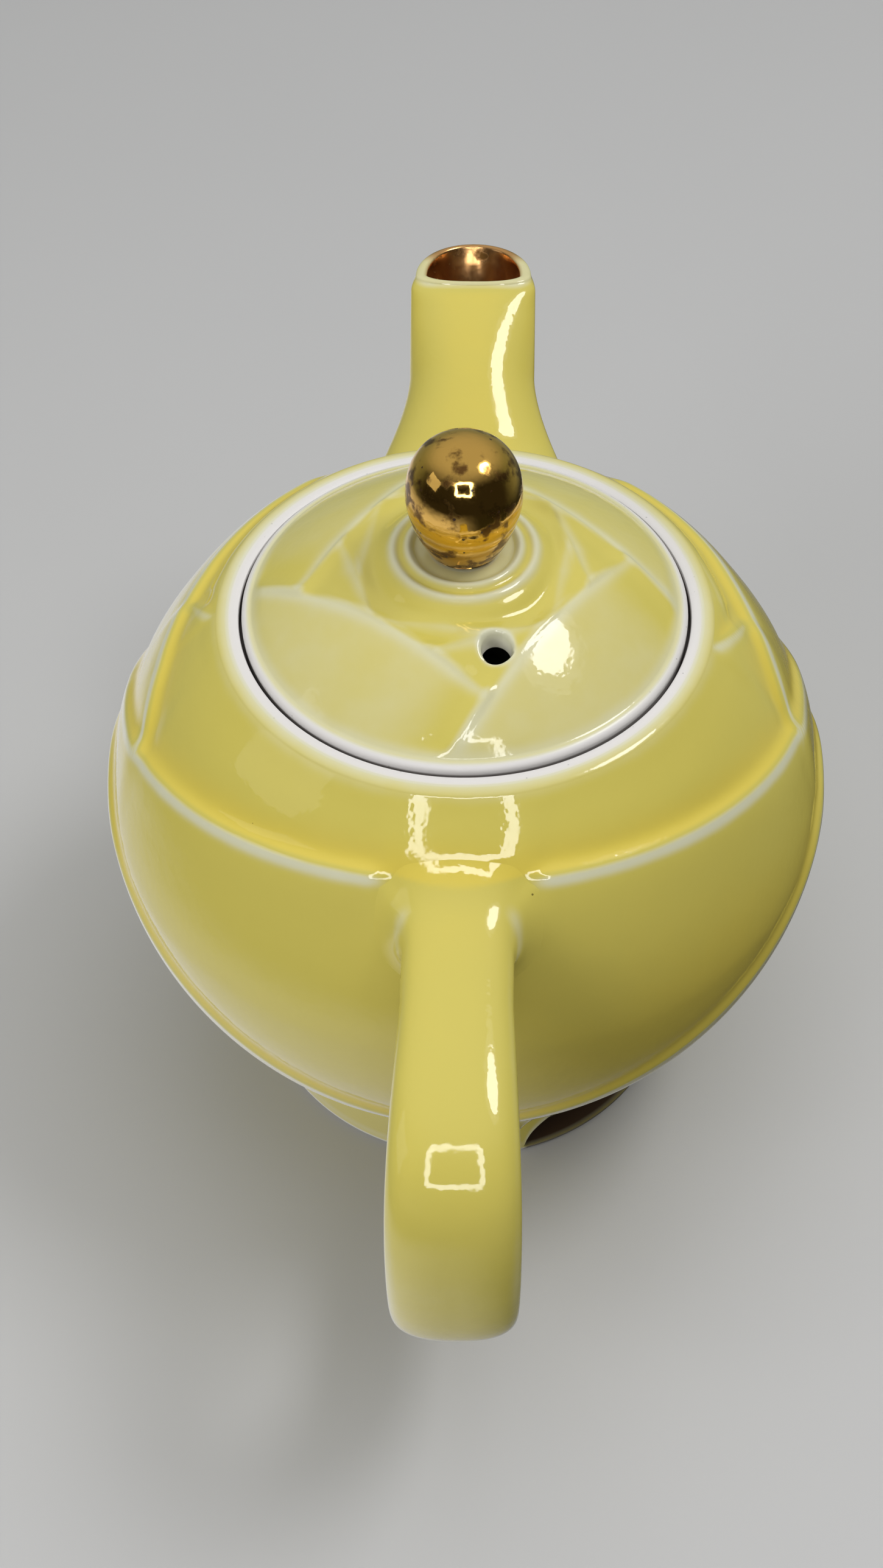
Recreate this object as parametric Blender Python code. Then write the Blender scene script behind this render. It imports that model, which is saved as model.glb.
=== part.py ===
"""Teapot with rose-petal relief, a strap handle, a flat-backed spout and a lift-off lid.

Metres, +Z up. The spout points along +Y and the handle along -Y. The origin lies on the table,
halfway between the handle's outermost point and the spout's lip, so the pot's own axis stands
a little to one side of it. Angles round the pot are in degrees from the handle towards +X.
"""
import math

import bmesh
import bpy
import numpy as np

# Clearances
FIT_GAP = 0.0003            # left between pieces that are luted together or rest on each other
LID_CLEARANCE = 0.0006      # round the lid's edge, inside the gallery
FLANGE_CLEARANCE = 0.0008   # round the lid's skirt, inside the mouth

# Pot shell
BODY_RADIUS = 0.0750        # at the belly
BELLY_HEIGHT = 0.0784       # height of the widest place
RIM_HEIGHT = 0.1260
BASE_LIFT = 0.0044          # lowest point of the round underside above the table
SHOULDER_POWER = 1.607      # how square the shoulder is
BASE_POWER = 2.017          # how square the underside is
BODY_WALL = 0.0048
RIM_WIDTH = 0.0040          # bare flat ring round the lid
RIM_ROUND = 0.0012
LEDGE_WIDTH = 0.0051        # ledge that carries the lid
GALLERY_DEPTH = 0.0038      # rim down to the ledge
GALLERY_THICKNESS = 0.0042
GALLERY_SLOPE = 0.0030      # fall of the ledge's underside towards the wall

# Petal relief: its edges are shares of the wall's height, so they move with the pot
FRONT_EDGE_SHARE = 0.737    # front petal's top over the handle, from belly to rim
CORNER_EDGE_SHARE = 0.502   # where the front petal crosses the back ones
BACK_EDGE_SHARE = 0.930     # back petals' top beside the spout
FRONT_EDGE_POWER = 2.1
CORNER_ANGLE = 77.0
BACK_EDGE_TURN = 16.0       # the back petals' edge makes most of its rise in this angle
LIP_FRONT_SHARE = 0.363     # lower petals' lip under the handle, from base to upper edge
LIP_SIDE_SHARE = 0.770
LIP_POWER = 1.4
LIP_SOFT_ANGLE = 14.0       # rounds the lip's top at the sides
EDGE_RISE = 0.0009          # petal edge above the plain wall
VALLEY_DEPTH = 0.0010       # hollow behind the edge
EDGE_WIDTH = 0.0015
FACE_WIDTH = 0.0070
VALLEY_WIDTH = 0.0060
PETAL_FADE = 0.0060         # relief dies out over this width beside the handle and the spout

# Foot
FOOT_RADIUS = 0.0468
FOOT_FLARE = 0.0020         # the foot is this much narrower where it meets the pot
FOOT_WALL = 0.0052
FOOT_BEVEL = 0.0008
WINDOW_ANGLE = 40.0         # arched opening, to the right of the handle
WINDOW_HALF_WIDTH = 0.0179
WINDOW_HEIGHT = 0.0115
WINDOW_SILL = 0.0015

# Spout
SPOUT_REACH = 0.1210        # pot axis to the far lip
SPOUT_EDGE_REACH = 0.1025   # pot axis to the straight near edge of the mouth
SPOUT_EDGE_RISE = 0.0013    # near edge above the pot's rim
SPOUT_LIP_FALL = 0.0025     # far lip below the near edge
SPOUT_TOP_DROP = 0.0185     # back leaves the shoulder this far below the rim
SPOUT_LOW_DROP = 0.0239     # keel leaves the wall this far below the belly
SPOUT_NECK_WIDTH = 0.0282
SPOUT_ROOT_WIDTH = 0.0540
SPOUT_MOUTH_WIDTH = 0.0270
SPOUT_WALL = 0.0031
SPOUT_LIP_ROUND = 0.0009
SPOUT_FLARE_SHARE = 0.55    # share of the spout's length that the root's flare takes
SPOUT_FLARE_POWER = 1.6
SPOUT_WIDEST_SHARE = 0.76   # widest place of the section, from the keel to the back
SPOUT_BACK_POWER = 2.1      # low rounded back
SPOUT_KEEL_POWER = 2.1      # round keel
SPOUT_BACK_PULL = ((0.33, 0.43), (0.68, 0.90))   # shape of the back, in shares of its run and rise
SPOUT_KEEL_PULL = ((0.42, 0.10), (0.66, 0.52))   # shape of the keel, likewise

# Strainer behind the spout
PORT_RADIUS = 0.0130
STRAINER_THICKNESS = 0.0030
STRAINER_HOLE_RADIUS = 0.0015
STRAINER_PITCH = 0.0046
STRAINER_EDGE = 0.0012      # least clay between a hole and the disc's edge

# Handle
HANDLE_REACH = 0.1240       # pot axis to the outermost point
HANDLE_TOP_DROP = 0.0195    # strap's middle leaves the shoulder this far below the rim
HANDLE_LOW_DROP = 0.0419    # and meets the wall again this far below the belly
HANDLE_BEND_RISE = 0.0040   # outermost point above the middle of the two roots
HANDLE_TOP_SLOPE = 7.0      # fall of the upper arm, in degrees
HANDLE_LOW_SLOPE = 3.7      # fall of the lower arm away from the pot
HANDLE_TOP_PULL = 0.0200    # how far the upper arm runs on before it bends
HANDLE_LOW_PULL = 0.0290
HANDLE_BEND_PULL = (0.0260, 0.0260)   # how far the outermost stretch runs straight, up and down
HANDLE_THICKNESS = 0.0116
HANDLE_ROOT_WIDTH = 0.0208
HANDLE_BEND_WIDTH = 0.0247
HANDLE_POWER = 2.5
HANDLE_FILLET = 0.0050

# Lid, heights above its seat
LID_RADIUS = 0.0440
LID_EDGE_HEIGHT = 0.0036    # seat to the lid's rounded edge
LID_EDGE_ROUND = 0.0020
LID_CROWN = 0.0165          # dome above the edge
LID_CROWN_POWER = 2.3
LID_WALL = 0.0042
FLANGE_DEPTH = 0.0140
FLANGE_WALL = 0.0032
RING_RADII = (0.0141, 0.0098)   # raised rings round the knob
RING_RISE = 0.0009
RING_WIDTH = 0.0011
VENT_RADIUS = 0.0029
VENT_X = 0.0065
VENT_Y = -0.0230

# Knob
KNOB_RADIUS = 0.01115
KNOB_HEIGHT = 0.0253        # knob's seat to its top
KNOB_CROWN = 0.0125         # widest place to the top
KNOB_CROWN_POWER = 2.4
KNOB_TAPER_POWER = 1.55     # the lower half narrows almost straight
KNOB_BASE_RADIUS = 0.0074   # where the egg turns in to its neck
KNOB_NECK_RADIUS = 0.0062
KNOB_NECK_HEIGHT = 0.0010
KNOB_FOOT_RADIUS = 0.0066
TENON_RADIUS = 0.0040
TENON_LENGTH = 0.0030

# Facets
POT_TURNS = 72
LID_TURNS = 56
KNOB_TURNS = 32
STRAP_SIDES = 24
SPOUT_SIDES = 32
CUT_SIDES = 24
HOLE_SIDES = 10

# Sizes that follow from the ones above
GALLERY_RADIUS = LID_RADIUS + LID_CLEARANCE
RIM_RADIUS = GALLERY_RADIUS + RIM_WIDTH
MOUTH_RADIUS = GALLERY_RADIUS - LEDGE_WIDTH
LEDGE_HEIGHT = RIM_HEIGHT - GALLERY_DEPTH
SEAT_HEIGHT = LEDGE_HEIGHT + FIT_GAP
FLANGE_RADIUS = MOUTH_RADIUS - FLANGE_CLEARANCE
SPOUT_TOP_ROOT = RIM_HEIGHT - SPOUT_TOP_DROP
SPOUT_LOW_ROOT = BELLY_HEIGHT - SPOUT_LOW_DROP
SPOUT_EDGE_HEIGHT = RIM_HEIGHT + SPOUT_EDGE_RISE
SPOUT_LIP_HEIGHT = SPOUT_EDGE_HEIGHT - SPOUT_LIP_FALL
PORT_HEIGHT = (SPOUT_TOP_ROOT + SPOUT_LOW_ROOT) / 2
HANDLE_TOP_ROOT = RIM_HEIGHT - HANDLE_TOP_DROP
HANDLE_LOW_ROOT = BELLY_HEIGHT - HANDLE_LOW_DROP
HANDLE_BEND_HEIGHT = (HANDLE_TOP_ROOT + HANDLE_LOW_ROOT) / 2 + HANDLE_BEND_RISE
HANDLE_STUB = HANDLE_THICKNESS + HANDLE_FILLET   # straight stretch of each arm at its root
AXIS_Y = (HANDLE_REACH - SPOUT_REACH) / 2

YELLOW = (0.62, 0.55, 0.13)
WHITE = (0.80, 0.77, 0.72)
GOLD = (0.75, 0.48, 0.12)


# Helpers

def material(name, colour, roughness, metallic=0.0):
    """A plain finish for one piece."""
    finish = bpy.data.materials.new(name)
    finish.use_nodes = True
    shader = finish.node_tree.nodes["Principled BSDF"]
    shader.inputs["Base Color"].default_value = (*colour, 1.0)
    shader.inputs["Roughness"].default_value = roughness
    shader.inputs["Metallic"].default_value = metallic
    return finish


def piece(name, parent, points, faces, finish=None):
    """A mesh object under its parent; without a finish it is a hidden cutter."""
    mesh = bpy.data.meshes.new(name)
    mesh.from_pydata([tuple(p) for p in points], [], faces)
    shell = bmesh.new()
    shell.from_mesh(mesh)
    bmesh.ops.recalc_face_normals(shell, faces=shell.faces)
    shell.to_mesh(mesh)
    shell.free()
    item = bpy.data.objects.new(name, mesh)
    bpy.context.collection.objects.link(item)
    item.parent = parent
    if finish is None:
        item.hide_render = True
        item.display_type = "WIRE"
    else:
        mesh.materials.append(finish)
        mesh.shade_smooth()
        mesh.set_sharp_from_angle(angle=math.radians(40))
    return item


def skin(rings, join_ends=False):
    """Points and faces of a surface through rings of points; a ring of one point closes as a fan."""
    points = []
    starts = []
    for ring in rings:
        starts.append((len(points), len(ring)))
        points.extend(ring)
    pairs = list(zip(starts, starts[1:]))
    if join_ends:
        pairs.append((starts[-1], starts[0]))
    faces = []
    for (low, low_count), (high, high_count) in pairs:
        count = max(low_count, high_count)
        for i in range(count):
            j = (i + 1) % count
            if low_count == 1:
                faces.append((low, high + j, high + i))
            elif high_count == 1:
                faces.append((low + i, low + j, high))
            else:
                faces.append((low + i, low + j, high + j, high + i))
    return points, faces


def prism(rings):
    """Points and faces of a bar between two rings, with flat ends."""
    points, faces = skin(rings)
    count = len(rings[0])
    faces.append(tuple(range(count)))
    faces.append(tuple(range(count, 2 * count)))
    return points, faces


def round_turn(sides):
    """Angles of a full turn, in radians."""
    return np.linspace(0, 2 * math.pi, sides, endpoint=False)


def turned(name, parent, outline, turns, finish, join_ends):
    """A solid of revolution about Z from an outline of (radius, height) points."""
    rings = []
    for radius, height in outline:
        if radius == 0:
            rings.append([(0.0, 0.0, height)])
        else:
            rings.append([(radius * math.cos(a), radius * math.sin(a), height)
                          for a in round_turn(turns)])
    return piece(name, parent, *skin(rings, join_ends), finish)


def bar_along_y(x, z, radius, ends, sides):
    """Rings of a round bar between two places along Y."""
    return [[(x + radius * math.cos(a), y, z + radius * math.sin(a)) for a in round_turn(sides)]
            for y in ends]


def cut(item, cutter):
    """Take the cutter away from the piece."""
    boolean = item.modifiers.new(cutter.name, "BOOLEAN")
    boolean.operation = "DIFFERENCE"
    boolean.object = cutter


def smooth_step(x):
    """0 below 0, 1 above 1, with soft ends."""
    x = np.clip(x, 0.0, 1.0)
    return x * x * (3 - 2 * x)


def bezier(a, b, c, d, t):
    """The point at t on a cubic curve from a to d, pulled towards b and c."""
    return a * (1 - t) ** 3 + 3 * b * t * (1 - t) ** 2 + 3 * c * t ** 2 * (1 - t) + d * t ** 3


def super_round(angle, power):
    """Cosine and sine of a rounded rectangle: power 2 is an ellipse, more is squarer."""
    c, s = np.cos(angle), np.sin(angle)
    return np.sign(c) * np.abs(c) ** (2 / power), np.sign(s) * np.abs(s) ** (2 / power)


# Pot shell: the plain wall, as a line from the underside's middle up to the rim

def wall_radius(height):
    """Radius of the plain wall at a height."""
    height = np.asarray(height, dtype=float)
    up = np.clip((height - BELLY_HEIGHT) / (RIM_HEIGHT - BELLY_HEIGHT), 0, 1)
    down = np.clip((BELLY_HEIGHT - height) / (BELLY_HEIGHT - BASE_LIFT), 0, 1)
    narrowing = 1 - (RIM_RADIUS / BODY_RADIUS) ** 2
    shoulder = 1 - narrowing * up ** SHOULDER_POWER
    return BODY_RADIUS * np.sqrt(shoulder * (1 - down ** BASE_POWER))


def base_height(radius):
    """Height of the round underside at a radius."""
    share = (1 - (radius / BODY_RADIUS) ** 2) ** (1 / BASE_POWER)
    return BELLY_HEIGHT - (BELLY_HEIGHT - BASE_LIFT) * share


def plain_wall(samples=400):
    """The wall's line: radius, height, length from the underside's middle, and outward normal."""
    quarter = np.linspace(0, math.pi / 2, samples)
    low_r = BODY_RADIUS * np.sin(quarter)
    top_z = np.linspace(BELLY_HEIGHT, RIM_HEIGHT, samples)[1:]
    r = np.concatenate([low_r, wall_radius(top_z)])
    z = np.concatenate([base_height(low_r), top_z])
    length = np.concatenate([[0], np.cumsum(np.hypot(np.diff(r), np.diff(z)))])
    dr, dz = np.gradient(r, length), np.gradient(z, length)
    size = np.hypot(dr, dz)
    return r, z, length, dz / size, -dr / size


WALL_R, WALL_Z, WALL_S, WALL_NR, WALL_NZ = plain_wall()


def upper_edge(angle):
    """Height of the upper petal edge: the front petal's, then the back ones' past the corner."""
    turn = abs(angle)
    if turn < CORNER_ANGLE:
        fall = (turn / CORNER_ANGLE) ** FRONT_EDGE_POWER
        share = FRONT_EDGE_SHARE - (FRONT_EDGE_SHARE - CORNER_EDGE_SHARE) * fall
    else:
        fall = math.exp((CORNER_ANGLE - turn) / BACK_EDGE_TURN)
        share = BACK_EDGE_SHARE - (BACK_EDGE_SHARE - CORNER_EDGE_SHARE) * fall
    return BELLY_HEIGHT + share * (RIM_HEIGHT - BELLY_HEIGHT)


def lower_lip(angle):
    """Height of the lower petals' lip: low under the handle and the spout, high at the sides."""
    from_side = abs(90 - abs(angle))
    fall = math.hypot(from_side, LIP_SOFT_ANGLE) - LIP_SOFT_ANGLE
    fall /= math.hypot(90, LIP_SOFT_ANGLE) - LIP_SOFT_ANGLE
    share = LIP_FRONT_SHARE + (LIP_SIDE_SHARE - LIP_FRONT_SHARE) * (1 - fall) ** LIP_POWER
    return BASE_LIFT + share * (upper_edge(angle) - BASE_LIFT)


def petal_edge(below):
    """Relief across a petal's edge; below is the distance down from the edge, on the petal's face."""
    face = EDGE_RISE * np.exp(-(below / FACE_WIDTH) ** 2)
    hollow = VALLEY_DEPTH / (1 + (below / VALLEY_WIDTH) ** 2)
    behind = (EDGE_RISE + VALLEY_DEPTH) * np.exp(-(below / EDGE_WIDTH) ** 2) - hollow
    return np.where(below >= 0, face, behind)


def root_fade(angle, radius):
    """0 beside the handle and the spout, where the wall is wiped smooth, and 1 away from them."""
    side = np.abs(radius * math.sin(math.radians(angle)))
    if abs(angle) < 90:
        bare = HANDLE_ROOT_WIDTH / 2 + HANDLE_FILLET
    else:
        bare = SPOUT_ROOT_WIDTH / 2
    return smooth_step((side - bare) / PETAL_FADE)


def outer_column(angle):
    """Points up the outside of the pot at one angle, with rows along both petal edges."""
    top = WALL_S[-1]
    lip = np.interp(lower_lip(angle), WALL_Z, WALL_S)
    edge = np.interp(upper_edge(angle), WALL_Z, WALL_S)
    panel, shoulder = edge - lip, top - edge
    rows = [lip * share for share in (0.14, 0.28, 0.42, 0.56, 0.70, 0.82, 0.92, 1.0)]
    rows += [lip + min(EDGE_WIDTH * f, panel * f / 10) for f in (1.1, 2.4)]
    rows += [lip + panel * share for share in (0.30, 0.44, 0.58, 0.72, 0.86, 1.0)]
    rows += [edge + min(EDGE_WIDTH * f, shoulder * f / 5) for f in (1.0, 2.3)]
    rows += [(top + rows[-1]) / 2, top - RIM_ROUND]
    rows = np.array(rows)
    r = np.interp(rows, WALL_S, WALL_R)
    z = np.interp(rows, WALL_S, WALL_Z)
    fade = root_fade(angle, r) * smooth_step((top - RIM_ROUND - rows) / VALLEY_WIDTH)
    relief = fade * (petal_edge(lip - rows) + petal_edge(edge - rows))
    r = r + relief * np.interp(rows, WALL_S, WALL_NR)
    z = z + relief * np.interp(rows, WALL_S, WALL_NZ)
    return [round_pot(angle, radius, height) for radius, height in zip(r, z)]


def round_pot(angle, radius, height):
    """The point at an angle round the pot."""
    a = math.radians(angle)
    return (radius * math.sin(a), -radius * math.cos(a), height)


def inner_outline():
    """Outline inside the pot, from the rim over the lid's ledge and down towards the floor's middle."""
    under = LEDGE_HEIGHT - GALLERY_THICKNESS
    wall_r = WALL_R - BODY_WALL * WALL_NR
    wall_z = WALL_Z - BODY_WALL * WALL_NZ
    top = np.interp(under - GALLERY_SLOPE, wall_z, WALL_S)
    outline = [(RIM_RADIUS - RIM_ROUND, RIM_HEIGHT), (GALLERY_RADIUS, RIM_HEIGHT),
               (GALLERY_RADIUS, LEDGE_HEIGHT), (MOUTH_RADIUS, LEDGE_HEIGHT), (MOUTH_RADIUS, under)]
    for share in (1.0, 0.92, 0.82, 0.70, 0.58, 0.46, 0.34, 0.22, 0.11):
        outline.append((np.interp(top * share, WALL_S, wall_r), np.interp(top * share, WALL_S, wall_z)))
    return outline


def make_pot_body(parent):
    """Cast shell: relief outside, smooth inside, with the port to the spout."""
    angles = np.linspace(-180, 180, POT_TURNS, endpoint=False)
    columns = [outer_column(angle) for angle in angles]
    rings = [[(0.0, 0.0, BASE_LIFT)]]
    rings += [list(ring) for ring in zip(*columns)]
    rings += [[round_pot(angle, *place) for angle in angles] for place in inner_outline()]
    rings.append([(0.0, 0.0, BASE_LIFT + BODY_WALL)])
    body = piece("pot_body", parent, *skin(rings), material("pot_yellow", YELLOW, 0.12))
    ends = (BODY_RADIUS / 2, BODY_RADIUS * 1.5)
    port = bar_along_y(0, PORT_HEIGHT, PORT_RADIUS, ends, CUT_SIDES)
    cut(body, piece("port_cut", parent, *prism(port)))


# Foot

def make_foot_ring(parent):
    """Ring luted under the belly, its top following the round underside."""
    inside = FOOT_RADIUS - FOOT_WALL
    waist = FOOT_RADIUS - FOOT_FLARE
    outline = [(inside + FOOT_BEVEL, 0.0), (FOOT_RADIUS - FOOT_BEVEL, 0.0), (FOOT_RADIUS, FOOT_BEVEL)]
    for radius in np.linspace(waist, waist - FOOT_WALL, 4):
        slope = (base_height(radius + FIT_GAP) - base_height(radius)) / FIT_GAP
        outline.append((radius, base_height(radius) - FIT_GAP * math.hypot(1, slope)))
    outline.append((inside, FOOT_BEVEL))
    ring = turned("foot_ring", parent, outline, POT_TURNS, material("foot_yellow", YELLOW, 0.12), True)
    cut(ring, window_cutter(parent))


def window_cutter(parent):
    """Arched bar through the foot's wall, above its sill."""
    a = math.radians(WINDOW_ANGLE)
    out = np.array([math.sin(a), -math.cos(a), 0.0])
    along = np.array([math.cos(a), math.sin(a), 0.0])
    near = math.sqrt((FOOT_RADIUS - 2 * FOOT_WALL) ** 2 - WINDOW_HALF_WIDTH ** 2)
    rings = []
    for reach in (near, FOOT_RADIUS + FOOT_WALL):
        ring = []
        for t in np.linspace(0, math.pi, 15):
            rise = WINDOW_SILL + (WINDOW_HEIGHT - WINDOW_SILL) * math.sin(t)
            ring.append(out * reach + along * WINDOW_HALF_WIDTH * math.cos(t) + np.array([0, 0, rise]))
        rings.append(ring)
    return piece("window_cut", parent, *prism(rings))


# Where the handle and the spout meet the pot

def outside_wall(point):
    """How far a point lies outside the pot's plain wall and the gap round it, square to the axis."""
    x, y, z = point
    normal = np.interp(z, WALL_Z, WALL_NR)
    return math.hypot(x, y) - wall_radius(z) - FIT_GAP / normal


def meet_wall(place, inside, outside):
    """The value between inside and outside at which place(value) touches the wall."""
    for _ in range(40):
        middle = (inside + outside) / 2
        if outside_wall(place(middle)) < 0:
            inside = middle
        else:
            outside = middle
    return outside


# Spout

def spout_line(start, end, pull, t):
    """A point at t on the spout's back or keel, in the plane x = 0."""
    run = end - start
    root = start - np.array([1.5 * BODY_WALL, 0])
    return bezier(root, start + run * pull[0], start + run * pull[1], end, t)


def spout_point(t, angle, wall):
    """A point of the spout: t runs from inside the pot to the mouth, angle goes round the section."""
    back = spout_line(np.array([wall_radius(SPOUT_TOP_ROOT), SPOUT_TOP_ROOT]),
                      np.array([SPOUT_EDGE_REACH, SPOUT_EDGE_HEIGHT]), SPOUT_BACK_PULL, t)
    keel = spout_line(np.array([wall_radius(SPOUT_LOW_ROOT), SPOUT_LOW_ROOT]),
                      np.array([SPOUT_REACH, SPOUT_LIP_HEIGHT]), SPOUT_KEEL_PULL, t)
    middle = keel + (back - keel) * SPOUT_WIDEST_SHARE
    flare = max(1 - t / SPOUT_FLARE_SHARE, 0) ** SPOUT_FLARE_POWER
    lip = max(t - SPOUT_FLARE_SHARE, 0) / (1 - SPOUT_FLARE_SHARE)
    width = SPOUT_NECK_WIDTH + (SPOUT_ROOT_WIDTH - SPOUT_NECK_WIDTH) * flare
    width += (SPOUT_MOUTH_WIDTH - SPOUT_NECK_WIDTH) * lip ** 2
    power, side = (SPOUT_BACK_POWER, back) if math.sin(angle) > 0 else (SPOUT_KEEL_POWER, keel)
    across, rise = super_round(angle, power)
    reach = side - middle
    y, z = middle + reach * (1 - wall / np.hypot(*reach)) * abs(rise)
    return np.array([(width / 2 - wall) * across, y, z])


def make_spout(parent):
    """Hollow spout, its root cut to the pot's wall and its lip rounded."""
    turn = round_turn(SPOUT_SIDES)
    steps = (0, 0.03, 0.08, 0.16, 0.26, 0.38, 0.50, 0.62, 0.74, 0.86, 0.95, 1.0)
    shells = []
    for wall in (0.0, SPOUT_WALL):
        starts = [meet_wall(lambda t: spout_point(t, a, wall), 0.0, SPOUT_FLARE_SHARE) for a in turn]
        shells.append([[spout_point(s + (1 - s) * step, a, wall) for s, a in zip(starts, turn)]
                       for step in steps])
    outside, inside = shells
    lip = [(a + b) / 2 + np.array([0, 0, SPOUT_LIP_ROUND]) for a, b in zip(outside[-1], inside[-1])]
    rings = outside + [lip] + inside[::-1]
    piece("spout", parent, *skin(rings, True), material("spout_yellow", YELLOW, 0.12))


# Strainer

def make_strainer(parent):
    """Pierced disc that fills the port in the pot's wall."""
    middle = wall_radius(PORT_HEIGHT) - BODY_WALL / 2
    radius = PORT_RADIUS - FIT_GAP
    ends = (middle - STRAINER_THICKNESS / 2, middle + STRAINER_THICKNESS / 2)
    disc = piece("strainer", parent, *prism(bar_along_y(0, PORT_HEIGHT, radius, ends, CUT_SIDES)),
                 material("strainer_white", WHITE, 0.25))
    cut(disc, hole_cutter(parent, middle, radius))


def hole_cutter(parent, middle, radius):
    """Bars on a triangular grid, as many as the disc has room for."""
    reach = radius - STRAINER_EDGE - STRAINER_HOLE_RADIUS
    row_height = STRAINER_PITCH * math.sqrt(0.75)
    rows = int(reach / row_height)
    half = int(reach / STRAINER_PITCH) + 1
    ends = (middle - STRAINER_THICKNESS, middle + STRAINER_THICKNESS)
    points, faces = [], []
    for row in range(-rows, rows + 1):
        for column in range(-half, half + 1):
            x, z = (column + (row % 2) / 2) * STRAINER_PITCH, row * row_height
            if math.hypot(x, z) > reach:
                continue
            bar = bar_along_y(x, PORT_HEIGHT + z, STRAINER_HOLE_RADIUS, ends, HOLE_SIDES)
            bar_points, bar_faces = prism(bar)
            faces += [tuple(len(points) + i for i in face) for face in bar_faces]
            points += bar_points
    return piece("hole_cut", parent, points, faces)


# Handle

def strap_section(width):
    """The strap's rounded section: offsets across the pot and towards the finger gap."""
    across, inward = super_round(round_turn(STRAP_SIDES), HANDLE_POWER)
    return list(zip(across * width / 2, inward * HANDLE_THICKNESS / 2))


def square_to(along):
    """The direction in the plane x = 0 that lies square to the strap, on its right going ahead."""
    return np.array([-along[1], along[0]])


def make_handle(parent):
    """Strap handle: two straight roots and a smooth bend through the outermost point."""
    slopes = (math.radians(HANDLE_TOP_SLOPE), math.radians(HANDLE_LOW_SLOPE))
    leave = [np.array([-math.cos(slope), -math.sin(slope)]) for slope in slopes]
    roots = [np.array([-wall_radius(h), h]) for h in (HANDLE_TOP_ROOT, HANDLE_LOW_ROOT)]
    top, low = (root + along * HANDLE_STUB for root, along in zip(roots, leave))
    outermost = np.array([-(HANDLE_REACH - HANDLE_THICKNESS / 2), HANDLE_BEND_HEIGHT])
    above = outermost + np.array([0, HANDLE_BEND_PULL[0]])
    below = outermost - np.array([0, HANDLE_BEND_PULL[1]])
    upper_bend = (top, top + leave[0] * HANDLE_TOP_PULL, above, outermost)
    lower_bend = (outermost, below, low + leave[1] * HANDLE_LOW_PULL, low)
    rings = root_rings(roots[0], leave[0], square_to(leave[0]))
    rings += bend_rings(upper_bend, lower_bend)
    rings += root_rings(roots[1], leave[1], -square_to(leave[1]))[::-1]
    piece("handle", parent, *skin(rings), material("handle_yellow", YELLOW, 0.12))


def bend_rings(upper, lower):
    """Sections round the bend, widest in its middle."""
    steps = np.linspace(0, 1, 8)
    places = [(curve, t) for curve in (upper, lower) for t in steps]
    places = places[1:len(steps)] + places[len(steps) + 1:-1]
    rings = []
    for number, (curve, t) in enumerate(places, start=1):
        share = number / (len(places) + 1)
        width = HANDLE_ROOT_WIDTH + (HANDLE_BEND_WIDTH - HANDLE_ROOT_WIDTH) * math.sin(math.pi * share)
        step = min(t, 1 - 1e-3)
        middle, ahead = bezier(*curve, t), bezier(*curve, step + 1e-3) - bezier(*curve, step)
        inward = square_to(ahead / np.hypot(*ahead))
        rings.append([(x, *(middle + u * inward)) for x, u in strap_section(width)])
    return rings


def root_rings(root, along, inward):
    """Sections of one arm from the pot's wall to the bend, the closed and flared root first."""

    def place(x, u, reach):
        return np.array([x, *(root + along * reach + inward * u)])

    def grown(x, u, flare, share=1.0):
        grow = (1 + flare / math.hypot(x, u)) * share
        return x * grow, u * grow

    def on_wall(x, u):
        return meet_wall(lambda reach: place(x, u, reach), -BODY_RADIUS / 2, HANDLE_STUB)

    sections = strap_section(HANDLE_ROOT_WIDTH)
    rings = [[place(0, 0, on_wall(0, 0))]]
    for share in (0.34, 0.68):
        inner = [grown(x, u, HANDLE_FILLET, share) for x, u in sections]
        rings.append([place(x, u, on_wall(x, u)) for x, u in inner])
    starts = [on_wall(*grown(x, u, HANDLE_FILLET)) for x, u in sections]
    for height in (0, 0.12, 0.40, 1.0):
        flare = HANDLE_FILLET * (1 - math.sqrt(1 - (1 - height) ** 2))
        rise = height * HANDLE_FILLET
        rings.append([place(*grown(x, u, flare), start + rise) for (x, u), start in zip(sections, starts)])
    rings.append([place(x, u, HANDLE_STUB) for x, u in sections])
    return rings


# Lid, built up from its seat

def lid_top(radius):
    """Height of the dome above the lid's seat, with the two rings round the knob."""
    dome = LID_EDGE_HEIGHT + LID_CROWN * (1 - (radius / LID_RADIUS) ** LID_CROWN_POWER)
    return dome + sum(RING_RISE * math.exp(-((radius - ring) / RING_WIDTH) ** 2) for ring in RING_RADII)


def knob_seat():
    """Height of the flat place that the knob stands on, above the lid's seat."""
    return lid_top(KNOB_FOOT_RADIUS)


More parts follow.
